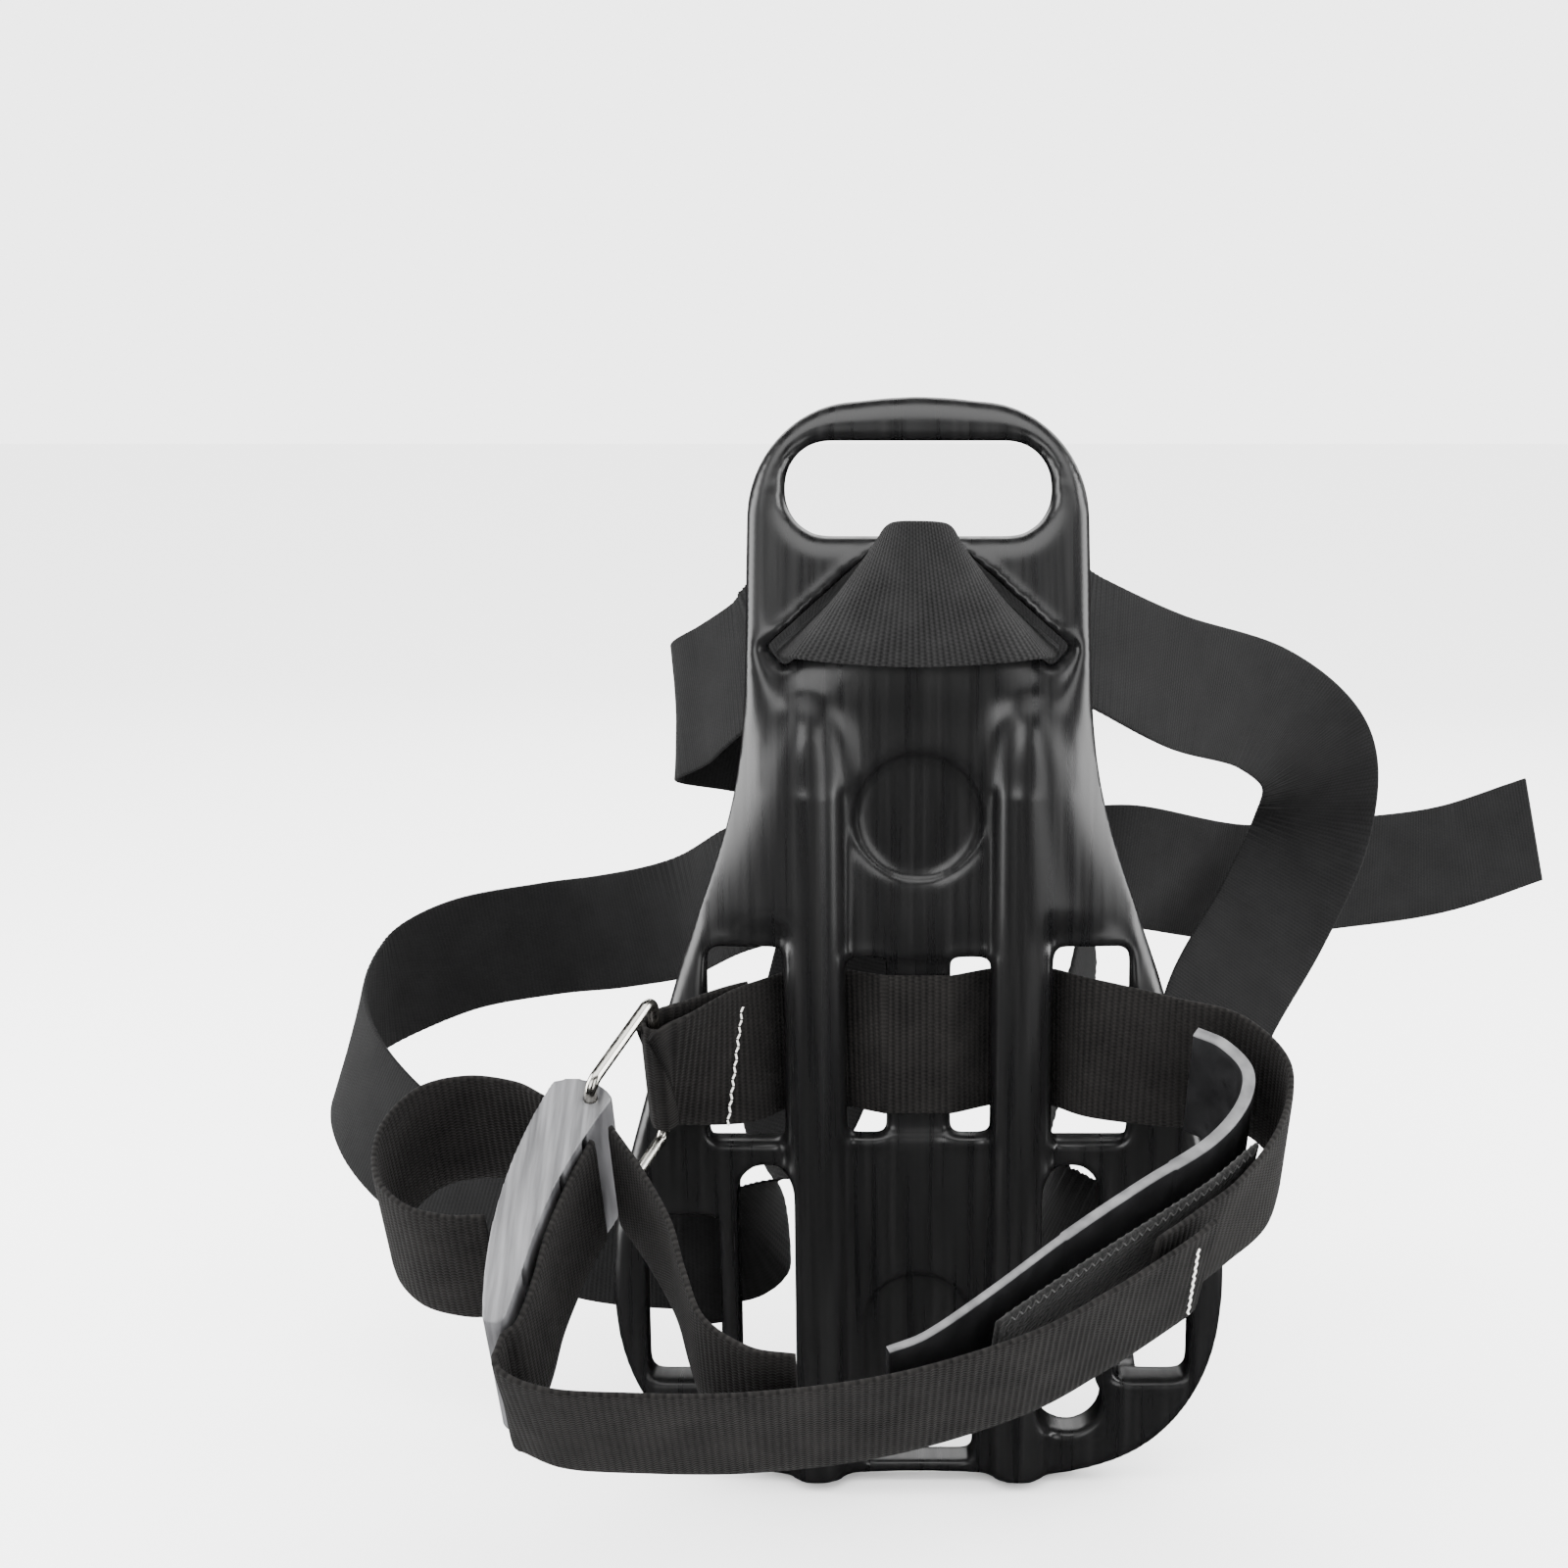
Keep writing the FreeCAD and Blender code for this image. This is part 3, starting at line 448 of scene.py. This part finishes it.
# %% Strap builder
def strap(name, stations, mat, width=WEB_WIDTH, thickness=WEB_THICK, rib=0.3, pitch=RIB_PITCH / MM,
          step=0.6, square=True, edge=None, shape=None, span=(0, 1), painted_highlight_mat=None):
    """A ribbed strap through its stations, or the given span of it, all in millimetres."""
    frames = even_frames(stations, step, square)
    length = frames[-1][0]
    frames = frames[round(span[0] * (len(frames) - 1)):round(span[1] * (len(frames) - 1)) + 1]
    section = flat_section(width, thickness, edge or thickness / 2)
    rows = len(frames) - 1
    around = len(section)
    bm = bmesh.new()
    weave = bm.loops.layers.uv.new("weave")
    bmesh.ops.create_grid(bm, x_segments=rows, y_segments=around, size=0.5)
    places = {vert: (round((vert.co.x + 0.5) * rows), round((vert.co.y + 0.5) * around))
              for vert in bm.verts}
    rim = width / 2 - (edge or thickness / 2) - 1e-6
    for face in bm.faces:
        for loop in face.loops:
            i, j = places[loop.vert]
            loop[weave].uv = (frames[i][0] * MM, section[j % around][0] * MM)
        # On the pad, the faces of the upper selvedge take the second material, a painted highlight.
        if painted_highlight_mat:
            face.material_index = int(all(section[places[v][1] % around][0] > rim for v in face.verts))
    for vert, (i, j) in places.items():
        reached, centre, across, normal = frames[i]
        side, lift, ribbed = section[j % around]
        if shape:
            lift *= shape(reached / length)
        if ribbed and rib:
            lift += math.copysign(rib * (0.5 + 0.5 * math.cos(2 * math.pi * reached / pitch)), lift)
        vert.co = (centre + across * side + normal * lift) * MM
    bmesh.ops.remove_doubles(bm, verts=bm.verts, dist=1e-7)
    bmesh.ops.holes_fill(bm, edges=[e for e in bm.edges if e.is_boundary], sides=0)
    bmesh.ops.recalc_face_normals(bm, faces=bm.faces)
    obj = finish_piece(bm, name, mat)
    if painted_highlight_mat:
        obj.data.materials.append(painted_highlight_mat)
    print(name, "%.0f mm long," % length, len(obj.data.polygons), "faces")
    return obj


# %% [markdown]
# ## Thread
# Each stitch is a short fat thread that dips into the webbing at both ends, so a small sphere drawn
# out between two points is enough, and a seam is a row of them. A seam follows the same stations as
# its strap, so it lies on the face wherever the strap bends.

# %% Seams
def stitch(bm, start, end, radius):
    """One stitch between two points in millimetres."""
    run = end - start
    made = bmesh.ops.create_uvsphere(bm, u_segments=6, v_segments=5, radius=1)["verts"]
    bmesh.ops.scale(bm, vec=(radius * MM, radius * MM, run.length * 0.56 * MM), verts=made)
    bmesh.ops.rotate(bm, matrix=run.to_track_quat("Z", "Y").to_matrix(), verts=made)
    bmesh.ops.translate(bm, vec=(start + end) * (0.5 * MM), verts=made)


def seam_along(bm, stations, from_part, to_part, offset, lift, pitch, swing, radius):
    """Zigzag stitches along part of a strap, at an offset across its width."""
    frames = even_frames(stations, pitch)
    first = int(from_part * (len(frames) - 1))
    last = int(to_part * (len(frames) - 1))
    points = []
    for i in range(first, last + 1):
        _, centre, across, normal = frames[i]
        side = swing if i % 2 else -swing
        points.append(centre + across * (offset + side) + normal * lift)
    for a, b in zip(points, points[1:]):
        stitch(bm, a, b, radius)


def seam_across(bm, stations, part, half_width, lift, pitch, swing, radius):
    """Zigzag stitches from one edge of a strap to the other."""
    frames = even_frames(stations, 1.0)
    i = int(part * (len(frames) - 1))
    _, centre, across, normal = frames[i]
    run = across.cross(normal)
    count = int(2 * half_width / pitch)
    points = []
    for k in range(count + 1):
        side = swing if k % 2 else -swing
        points.append(centre + across * (half_width - k * pitch) + normal * lift + run * side)
    for a, b in zip(points, points[1:]):
        stitch(bm, a, b, radius)


BOX_HALF_WIDTH = 20.0
BOX_PITCH = 1.8
BOX_SWING = 0.15
BOX_THREAD = 0.32


def box_seam(bm, stations, from_part, to_part, lift):
    """Two rows along a fold and two across it, as sewn ends have."""
    for offset in (-BOX_HALF_WIDTH, BOX_HALF_WIDTH):
        seam_along(bm, stations, from_part, to_part, offset, lift, BOX_PITCH, BOX_SWING, BOX_THREAD)
    for part in (from_part, to_part):
        seam_across(bm, stations, part, BOX_HALF_WIDTH, lift, BOX_PITCH, BOX_SWING, BOX_THREAD)


print("thread helpers ready")

# %% [markdown]
# ## Shoulder webbing
# One long strap is threaded through the two slanted slots below the grip. Between them it lies over
# the moulded tongue as a small tent: its lower edge is short and its upper edge stands up, so each
# station here is given by both edges. Behind the plate its two halves twist and fall away, and end
# at the belt's upright bars.

# %% Shoulder webbing
ARM_RIGHT = (-0.759, 0, 0.651)
ARM_LEFT = (0.759, 0, 0.651)
TENT = [((-10.2, 33, 326.5), (-48.1, 33, 294)), ((-10.4, 26, 327), (-47.8, 24, 294)),
        ((-11.4, 14, 331), (-45.5, 13, 294.3)), ((-11.4, 2, 336.5), (-39.5, 5.5, 294.5)),
        ((-9, -7, 341), (-24, 2, 293.2))]
TENT_TOP = ((-1.5, -10.5, 342), (-1, 0.5, 292.4))


def between(upper, lower):
    """A station given by the strap's two edges."""
    high = Vector(upper)
    low = Vector(lower)
    return (high + low) / 2, (high - low).normalized()


def mirrored(edges):
    return [(-x, y, z) for x, y, z in edges]


TAB = [between(*edges) for edges in TENT + [TENT_TOP] + [mirrored(edges) for edges in reversed(TENT)]]
SHOULDER_RIGHT = [((29.2, 35.6, 310.2), ARM_RIGHT), ((30.6, 42, 309.8), ARM_RIGHT),
                  ((42, 50, 305), (-0.6, 0, 0.8)), ((62, 62, 294), (-0.35, 0, 0.94)),
                  ((96, 100, 274), (-0.1, 0, 1)), ((136, 150, 256), (0.3, 0, 0.95)),
                  ((163, 188, 230), (0.85, 0, 0.5)), ((166, 208, 198), (1, 0, 0)),
                  ((148, 190, 164), (0.9, 0, -0.4)), ((122, 150, 134), (0.8, 0, -0.6)),
                  ((108, 112, 106), (0.55, 0, -0.85)), ((102, 78, 86), (0.2, 0, -1)),
                  ((93, 55, 76), (0.05, 0, -1)), ((84, 49.2, 73), (0, 0, -1)), ((72, 48.6, 73), (0, 0, -1))]
SHOULDER_LEFT = [((-29.2, 35.6, 310.2), ARM_LEFT), ((-30.6, 42, 309.8), ARM_LEFT),
                 ((-42, 50, 305), (0.6, 0, 0.8)), ((-60, 60, 288), (0.3, 0, 0.95)),
                 ((-78, 85, 272), (0.1, 0, 1)), ((-90, 106, 262), UP), ((-84, 123, 256), UP),
                 ((-60, 129, 250), UP), ((-34, 117, 240), (-0.3, 0, 0.95)),
                 ((-20, 98, 212), (-0.85, 0, 0.5)), ((-30, 84, 168), (-1, 0, 0)),
                 ((-44, 70, 120), (-0.7, 0, -0.7)), ((-54, 60, 90), (-0.3, 0, -0.95)),
                 ((-62, 51.5, 76), (0, 0, -1)), ((-72, 49, 73), (0, 0, -1)), ((-84, 48.6, 73), (0, 0, -1))]


def harness_strap(name, stations, node_name):
    """A harness strap with fine ribs, which stands for its CAD node."""
    piece = strap(name, stations, HARNESS_WEBBING, rib=0, step=1.0)
    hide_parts(node_name)
    return piece


tab = strap("webbing_shoulder_tab", TAB, TAB_WEBBING, rib=0, step=0.8, square=False)
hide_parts("shoulder_tab")
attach(tab, "frame")
for side, stations in (("right", SHOULDER_RIGHT), ("left", SHOULDER_LEFT)):
    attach(harness_strap("webbing_shoulder_" + side, stations, "shoulder_strap_" + side), "frame")

# %% [markdown]
# ## Waist belt
# Each half of the belt is sewn round an upright bar on the wearer's side of the plate. The left half
# ends at the socket of the buckle. The right half turns round the tongue's bar, and its free tail
# runs on.

# %% Waist belt
buckle_low, buckle_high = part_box("buckle_socket")
DEEP = (buckle_low.y + buckle_high.y) / 2 / MM
HIGH = (buckle_low.z + buckle_high.z) / 2 / MM
SOCKET_BAR = buckle_low.x / MM + 1.5
TONGUE_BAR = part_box("buckle_tongue")[1].x / MM - 1.5
STRAP_BAR = 76
BAR_REACH = 6.6


def bar_fold(sign, come_from):
    """The strap's sewn loop round the upright bar."""
    loop = [(come_from * BAR_REACH * 1.6, 45.4), (0, 45.2), (-come_from * BAR_REACH * 0.85, 43),
            (-come_from * BAR_REACH, 39), (-come_from * BAR_REACH * 0.85, 34.6), (0, 32),
            (come_from * 11, 31.2)]
    return [((sign * (STRAP_BAR + x), y, 72), UP) for x, y in loop]


def buckle_fold(sign, bar_x):
    """The strap's loop round the buckle's end bar, from the underside to the upper side."""
    loop = [(26, -2.6), (12, -3.6), (1.5, -4.2), (-2.8, -3), (-3.6, 0), (-2.8, 3), (1.5, 4.2), (12, 3.6)]
    return [((bar_x + sign * x, DEEP + y, HIGH), UP) for x, y in loop]


BELT_LEFT = buckle_fold(-1, SOCKET_BAR) + [
    ((-72, DEEP + 14, HIGH - 8), UP), ((-100, DEEP + 56, HIGH - 30), UP), ((-130, 218, 150), UP),
    ((-160, 224, 145), UP), ((-196, 214, 140), UP), ((-222, 190, 130), (0.15, 0, 1)),
    ((-230, 150, 120), (0.3, 0, 0.95)), ((-218, 110, 110), (0.35, 0, 0.93)),
    ((-193, 80, 96), (0.35, 0, 0.93)), ((-160, 60, 84), (0.25, 0, 0.96)),
    ((-122, 50, 74), (0.1, 0, 1))] + bar_fold(-1, 1)
BELT_RIGHT = buckle_fold(1, TONGUE_BAR)[:0:-1][1:] + [
    ((68, DEEP - 12, HIGH - 10), UP), ((62, 108, 152), (0, -0.3, 1)), ((50, 86, 116), (0, -0.4, 0.9)),
    ((50, 62, 86), (0, -0.2, 1))] + bar_fold(1, -1)
BELT_TAIL = [((TONGUE_BAR + 2, DEEP + 4.3, HIGH), UP), ((58, DEEP + 9, HIGH), UP), ((85, 170, 189), UP),
             ((136, 220, 171), UP), ((187, 260, 166), UP), ((237, 285, 167), UP), ((282, 300, 178), UP)]
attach(harness_strap("webbing_belt_left", BELT_LEFT, "waist_belt_left"), "frame")
belt_right = harness_strap("webbing_belt_right", BELT_RIGHT, "waist_belt_right")
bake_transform(belt_right)
belt_tail = harness_strap("webbing_belt_tail", BELT_TAIL, "waist_belt_tail")
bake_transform(belt_tail)

# %% [markdown]
# ## Anchor strap of the cylinder band
# The anchor strap is sewn round the ring's near bar, dips behind both window columns with the
# set-back centre bar between them, and comes out on the right. Its last stretch is sewn under the
# front run.

# %% Anchor strap
RING_NEAR = band(-88, 11, -3)
RING_TURN = 3.75


def ring_fold():
    """The sewn end: out along the window, round the ring's near bar and back."""
    heading = (Vector((-30, 0, 0)) + OUT * 26).normalized()
    side = ACROSS.cross(heading)
    fold = [((-60, 9, 158), UP), (RING_NEAR - side * RING_TURN - heading * 6, ACROSS)]
    for degrees in (-80, -40, 0, 40, 80):
        angle = math.radians(degrees)
        turn = heading * math.cos(angle) + side * math.sin(angle)
        fold.append((RING_NEAR + turn * RING_TURN, ACROSS))
    return fold + [(RING_NEAR + side * RING_TURN - heading * 6, ACROSS)]


WOVEN = [(-58, 6.2, 158), (-47.5, 18.6, 158.6), (-41, 20, 158.9), (-28, 20, 159.4), (-23.5, 18.4, 159.6),
         (-12.5, 10.4, 160), (-9, 9.9, 160), (9, 9.9, 160), (12.5, 10.4, 160), (23.5, 18.4, 160),
         (28, 20, 160), (41, 20, 160), (47.5, 18.6, 160), (60, 5, 160)]
ANCHOR = ring_fold() + [(point, UP) for point in WOVEN]
ANCHOR += [((86, -5, 158), (0, -0.2, 1)), (band(108, 12, -1.5), (0, -0.4, 0.9)), (band(121, 32), ACROSS),
           (band(116, 58), ACROSS)] + on_band([(101, 78), (86, 92), (72, 103.5)], LEANED)


def band_strap(name, stations, node_name, span=(0, 1)):
    """A strap of the cylinder band with real ribs, which stands for its CAD node."""
    piece = strap(name, stations, BAND_WEBBING, step=0.5, span=span)
    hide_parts(node_name)
    return piece


anchor = band_strap("webbing_anchor", ANCHOR, "anchor_strap")
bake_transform(anchor)

# %% [markdown]
# ## Front run of the band
# The front run is the ribbed strap that the cylinder feels. It starts inside the cam lever, where the
# slots clamp it, and ends sewn to the anchor strap. Its ends are held by different bodies, so the run
# is cut in two. The two parts share one even division, so the ribs run on across the cut.

# %% Front run
IN_LEVER = [(-103.5, 66), (-109, 84), (-113.5, 104), (-115.5, 122), (-118.5, 137), (-123, 143.5)]
FRONT = [(-122, 151), (-109, 158), (-88, 160), (-50, 160), (-8, 153.5), (32, 139), (58, 122.5), (82, 104),
         (90, 96.5)]
FRONT_RUN = on_band(IN_LEVER) + on_band(FRONT, LEANED)
CUT_X = -50


def part_at(stations, x):
    """How far along the strap, from 0 to 1, its last crossing of a sideways place is."""
    frames = even_frames(stations, 1.0)
    return max(reached for reached, centre, _, _ in frames if centre.x < x) / frames[-1][0]


front_cut = part_at(FRONT_RUN, CUT_X)
lever_half = band_strap("webbing_front_lever_half", FRONT_RUN, "cylinder_strap", (0, front_cut))
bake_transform(lever_half)
seam_half = band_strap("webbing_front_seam_half", FRONT_RUN, "cylinder_strap", (front_cut, 1))
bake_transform(seam_half)

# %% [markdown]
# ## Loop and tail at the lever
# Outside the lever the webbing makes a round loop on its way back in, and inside it the free tail
# stands behind the front run. Both are clamped by the lever, so they simply ride on it. The tail
# stops well short of the pad, which leaves it room when the ring swings.

# %% Loop and tail
CAM_LOOP = [(-121, 47), (-131, 41), (-147, 38.5), (-162, 44), (-171, 60), (-170, 79), (-160, 92),
            (-146, 97), (-133.5, 97)]
TAIL = [(-98, 60), (-87, 78), (-77, 98), (-71, 118), (-64, 136), (-50, 147), (-36, 149.8)]
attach(band_strap("webbing_cam_loop", on_band(CAM_LOOP), "cam_loop"), "lever")
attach(band_strap("webbing_tail", on_band(TAIL), "strap_tail"), "lever")

# %% [markdown]
# ## Hook-and-loop strip and rubber pad
# The strip lies under the front run and peeps out above it. The pad is the solid rubber piece that
# grips the cylinder: it is threaded on the anchor strap by its thick end and steps down twice towards
# a squared tip, so its thickness is a function of how far along it a point is.

# %% Strip and pad
PATCH = [(106, 64), (92, 78), (74, 92.5), (56, 106.5), (38, 121), (22, 134.5)]
PAD = [(92, 17), (101, 23), (107.5, 35), (104, 50), (92, 66), (70, 83), (46, 103), (22, 125), (3, 141),
       (-9, 147)]
PAD_STEPS = ((0.40, 1.0), (0.64, 0.8), (1.01, 0.62))
patch = strap("hook_and_loop_strip", on_band(PATCH, LEANED), FLEECE, width=46, rib=0.12,
              pitch=1.1)
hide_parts("loop_patch")
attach(patch, "frame")


def pad_steps(part):
    return next(share for end, share in PAD_STEPS if part < end)


# The pad's upper edge takes the lighter rubber, a painted highlight.
pad = strap("anti_slip_pad_moulded", on_band(PAD), PAD_RUBBER, width=48, thickness=4.2,
            rib=0, step=0.8, edge=0.7, shape=pad_steps, painted_highlight_mat=PAD_PAINTED_HIGHLIGHT)
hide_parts("anti_slip_pad")
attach(pad, "frame")

# %% [markdown]
# ## Moulded copies
# Moulding leaves no sharp edge anywhere. A copy of a CAD piece is turned into an even skin of small
# quads by a voxel remesh and then relaxed, which rounds every edge alike, as a mould does. Bevels
# would be lighter, but they fail where a slot, a fillet and a curved flank meet.

# %% Moulded copies
def moulded_copy(node_name, name, voxel, relax, mat):
    bm = bmesh.new()
    bm.from_mesh(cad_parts[node_name].data)
    bmesh.ops.remove_doubles(bm, verts=bm.verts, dist=2e-6)
    obj = finish_piece(bm, name, mat)
    remesh = obj.modifiers.new("even_skin", "REMESH")
    remesh.mode = "VOXEL"
    remesh.voxel_size = voxel
    smooth = obj.modifiers.new("soft_edges", "SMOOTH")
    smooth.factor = 0.5
    smooth.iterations = relax
    bpy.context.view_layer.update()
    evaluated = obj.evaluated_get(bpy.context.evaluated_depsgraph_get())
    mesh = bpy.data.meshes.new_from_object(evaluated)
    obj.modifiers.clear()
    obj.data = mesh
    mesh.materials.clear()
    mesh.materials.append(mat)
    for face in mesh.polygons:
        face.use_smooth = True
    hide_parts(node_name)
    print(name, "faces", len(mesh.polygons))
    return obj


SMALL_PARTS = [("cam_lever", "moulded_lever", LEVER_PLASTIC, "lever_plastic", "lever"),
               ("buckle_socket", "moulded_socket", BUCKLE_PLASTIC, "buckle_plastic", "frame"),
               ("buckle_tongue", "moulded_tongue", BUCKLE_PLASTIC, "buckle_plastic", "tongue"),
               ("prong_upper", "moulded_prong_upper", BUCKLE_PLASTIC, "buckle_plastic", "prong_up"),
               ("prong_lower", "moulded_prong_lower", BUCKLE_PLASTIC, "buckle_plastic", "prong_down")]
SMALL_VOXEL = 0.7 * MM
for node_name, name, mat, slot, body in SMALL_PARTS:
    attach(moulded_copy(node_name, name, SMALL_VOXEL, 3, mat), body)

# %% [markdown]
# ## The plate's relief
# The plate's large form is the CAD model's. What the mould adds is relief: the flanks roll back
# towards the outline, the grip is nearly round, and low lips run round the openings. Each is a push
# along the depth that depends on how near a point lies to the outline or to an opening, and on its
# height. The walls give those distances: a wall point that faces nothing belongs to the outline, and
# one that faces another wall belongs to an opening.

# %% Plate
PLATE_VOXEL = 1.45 * MM
plate = moulded_copy("backplate", "moulded_backplate", PLATE_VOXEL, 4, FRAME_PLASTIC)
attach(plate, "frame")
PANEL_FRONT = 9 * MM
PLATE_THICK = 16 * MM
BEND_HEIGHT = 0.293
BEND_LEAN = math.tan(math.radians(27))
GRIP_THICKER = 1.12


def slab_share(co):
    """0 on the plate's cylinder side and 1 on the wearer's side."""
    front = PANEL_FRONT + max(0.0, co.z - BEND_HEIGHT) * BEND_LEAN
    thick = PLATE_THICK * (GRIP_THICKER if co.z > BEND_HEIGHT else 1.0)
    return min(1.0, max(0.0, (co.y - front) / thick))


def ease(t):
    t = min(1.0, max(0.0, t))
    return t * t * (3 - 2 * t)


def height_window(height, low, low_fade, high, high_fade):
    """1 between two heights, easing to 0 towards both."""
    return ease((height - low) / low_fade) * ease((high - height) / high_fade)


# %% Walls
def wall_trees(bm):
    """Search trees of the outline's and the openings' walls, seen from the front."""
    skin = BVHTree.FromBMesh(bm)
    outline = []
    openings = []
    for vert in bm.verts:
        facing = Vector((vert.normal.x, 0, vert.normal.z))
        if facing.length < 0.85 or not 0.15 < slab_share(vert.co) < 0.5:
            continue
        seen = skin.ray_cast(vert.co + facing.normalized() * MM, facing)[0]
        flat = Vector((vert.co.x, 0, vert.co.z))
        (outline if seen is None else openings).append(flat)
    trees = []
    for points in (outline, openings):
        tree = KDTree(len(points))
        for i, point in enumerate(points):
            tree.insert(point, i)
        tree.balance()
        trees.append(tree)
    print("outline points", len(outline), "opening points", len(openings))
    return trees


# %% [markdown]
# The push itself blends from the cylinder side to the wearer's side, so the two faces come together
# at a rounded edge, which is wide on the upper flanks and narrow at the grip and the foot. The lips
# round the openings are only on the cylinder side. Between the ridges the upper panel is a little
# hollow, and outside them it falls away in a curve to the outline. Smoothing evens out the result,
# and the ridges' upper tips get much more of it, to soften their ends.

# %% Relief
FLANK_HEIGHTS = (0.15, 0.05, 0.312, 0.03)
ROLL_WIDTH = 0.0075
FLANK_ROLL_WIDTH = 0.0145
ROLL_DEPTH = 0.0048
FLANK_ROLL_DEPTH = 0.0035
WEARER_ROLL = 0.6
LIP_WIDTH = 0.0042
LIP_HEIGHT = 0.0013
LIP_SHARE = 0.3
LIP_NEAREST_Y = 0.004
HOLLOW = 0.0016
HOLLOW_HALF_WIDTH = 0.024
HOLLOW_HEIGHTS = (0.2, 0.02, 0.29, 0.02)
RIDGE_X = 0.036
SHOULDER_DROP = 0.0165
SHOULDER_CURVE = 1.7
SHOULDER_HEIGHTS = (0.197, 0.012, 0.286, 0.03)
SHOULDER_SHARE = 0.5


def relief(co, outline, openings):
    """How far a point of the plate moves along the depth."""
    share = slab_share(co)
    flat = Vector((co.x, 0, co.z))
    to_outline = outline.find(flat)[2]
    flank = height_window(co.z, *FLANK_HEIGHTS)
    near = min(1.0, to_outline / (ROLL_WIDTH + FLANK_ROLL_WIDTH * flank))
    depth = ROLL_DEPTH + FLANK_ROLL_DEPTH * flank
    push = depth * (1 - math.sqrt(max(0.0, 1 - (1 - near) ** 2)))
    moved = push * (1 - share) - WEARER_ROLL * push * share
    if share < LIP_SHARE and co.y > LIP_NEAREST_Y:
        gap = openings.find(flat)[2]
        lip = math.sin(math.pi * min(1.0, gap / LIP_WIDTH)) ** 2
        moved -= LIP_HEIGHT * lip * near * (1 - share / LIP_SHARE)
    beside = height_window(co.z, *SHOULDER_HEIGHTS) * (1 - ease(share / SHOULDER_SHARE))
    outside = (abs(co.x) - RIDGE_X) / max(1e-6, abs(co.x) - RIDGE_X + to_outline)
    if beside and outside > 0:
        drawn = SHOULDER_DROP * outside ** SHOULDER_CURVE - co.y
        return drawn * beside + moved * (1 - beside)
    trough = max(0.0, 1 - (co.x / HOLLOW_HALF_WIDTH) ** 2) * height_window(co.z, *HOLLOW_HEIGHTS)
    return moved + HOLLOW * trough * (1 - share)


def relax(bm, verts, times):
    for _ in range(times):
        bmesh.ops.smooth_vert(bm, verts=verts, factor=0.5, use_axis_x=True, use_axis_y=True,
                              use_axis_z=True)


SMOOTHINGS = 4
TIP_SMOOTHINGS = 60
RIDGE_TIP_LOW = 0.25
RIDGE_TIP_HIGH = 0.291
RIDGE_TIP_INNER = 0.02
RIDGE_TIP_OUTER = 0.054
bm = bmesh.new()
bm.from_mesh(plate.data)
bm.normal_update()
outline_walls, opening_walls = wall_trees(bm)
for vert in bm.verts:
    vert.co.y += relief(vert.co, outline_walls, opening_walls)
relax(bm, bm.verts, SMOOTHINGS)
tips = [vert for vert in bm.verts if RIDGE_TIP_LOW < vert.co.z < RIDGE_TIP_HIGH
        and RIDGE_TIP_INNER < abs(vert.co.x) < RIDGE_TIP_OUTER and slab_share(vert.co) < 0.05]
relax(bm, tips, TIP_SMOOTHINGS)
bm.to_mesh(plate.data)
bm.free()
print("plate relief", [round(v / MM, 1) for v in plate.bound_box[0]], "mm at its lowest corner")

# %% [markdown]
# ## Ring and safety seams
# The wire ring and the two white seams already have their right shapes in the CAD model, down to each
# stitch, so they only need their finishes.

# %% Ring and seams
for node_name, mat in (("wire_ring", STEEL), ("anchor_stitching", WHITE_THREAD),
                       ("band_stitching", WHITE_THREAD)):
    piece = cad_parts[node_name]
    piece.data.materials.clear()
    piece.data.materials.append(mat)
print("finishes given to the ring and the white seams")

# %% [markdown]
# ## Dark seams
# The belt's fold at the buckle's socket is closed by a box of dark stitches, and the edge of the
# hook-and-loop strip is held by a zigzag. They are separate pieces, because thread is a finish of its
# own, and both ride on the frame.

# %% Dark seams
SEAM_LIFT = WEB_THICK / 2 + 0.35


def dark_seam(name, draw):
    bm = bmesh.new()
    draw(bm)
    piece = finish_piece(bm, name, DARK_THREAD)
    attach(piece, "frame")
    print(name, len(piece.data.polygons), "faces")


def belt_left_seams(bm):
    box_seam(bm, BELT_LEFT, 0.055, 0.075, SEAM_LIFT)


def strip_zigzag(bm):
    lean = on_band(PATCH, LEANED)
    for lift in (WEB_THICK / 2 + 0.1, -WEB_THICK / 2 - 0.1):
        seam_along(bm, lean, 0.02, 0.98, 21.0, lift, 1.6, 1.4, 0.3)


dark_seam("thread_belt_left", belt_left_seams)
dark_seam("thread_strip", strip_zigzag)
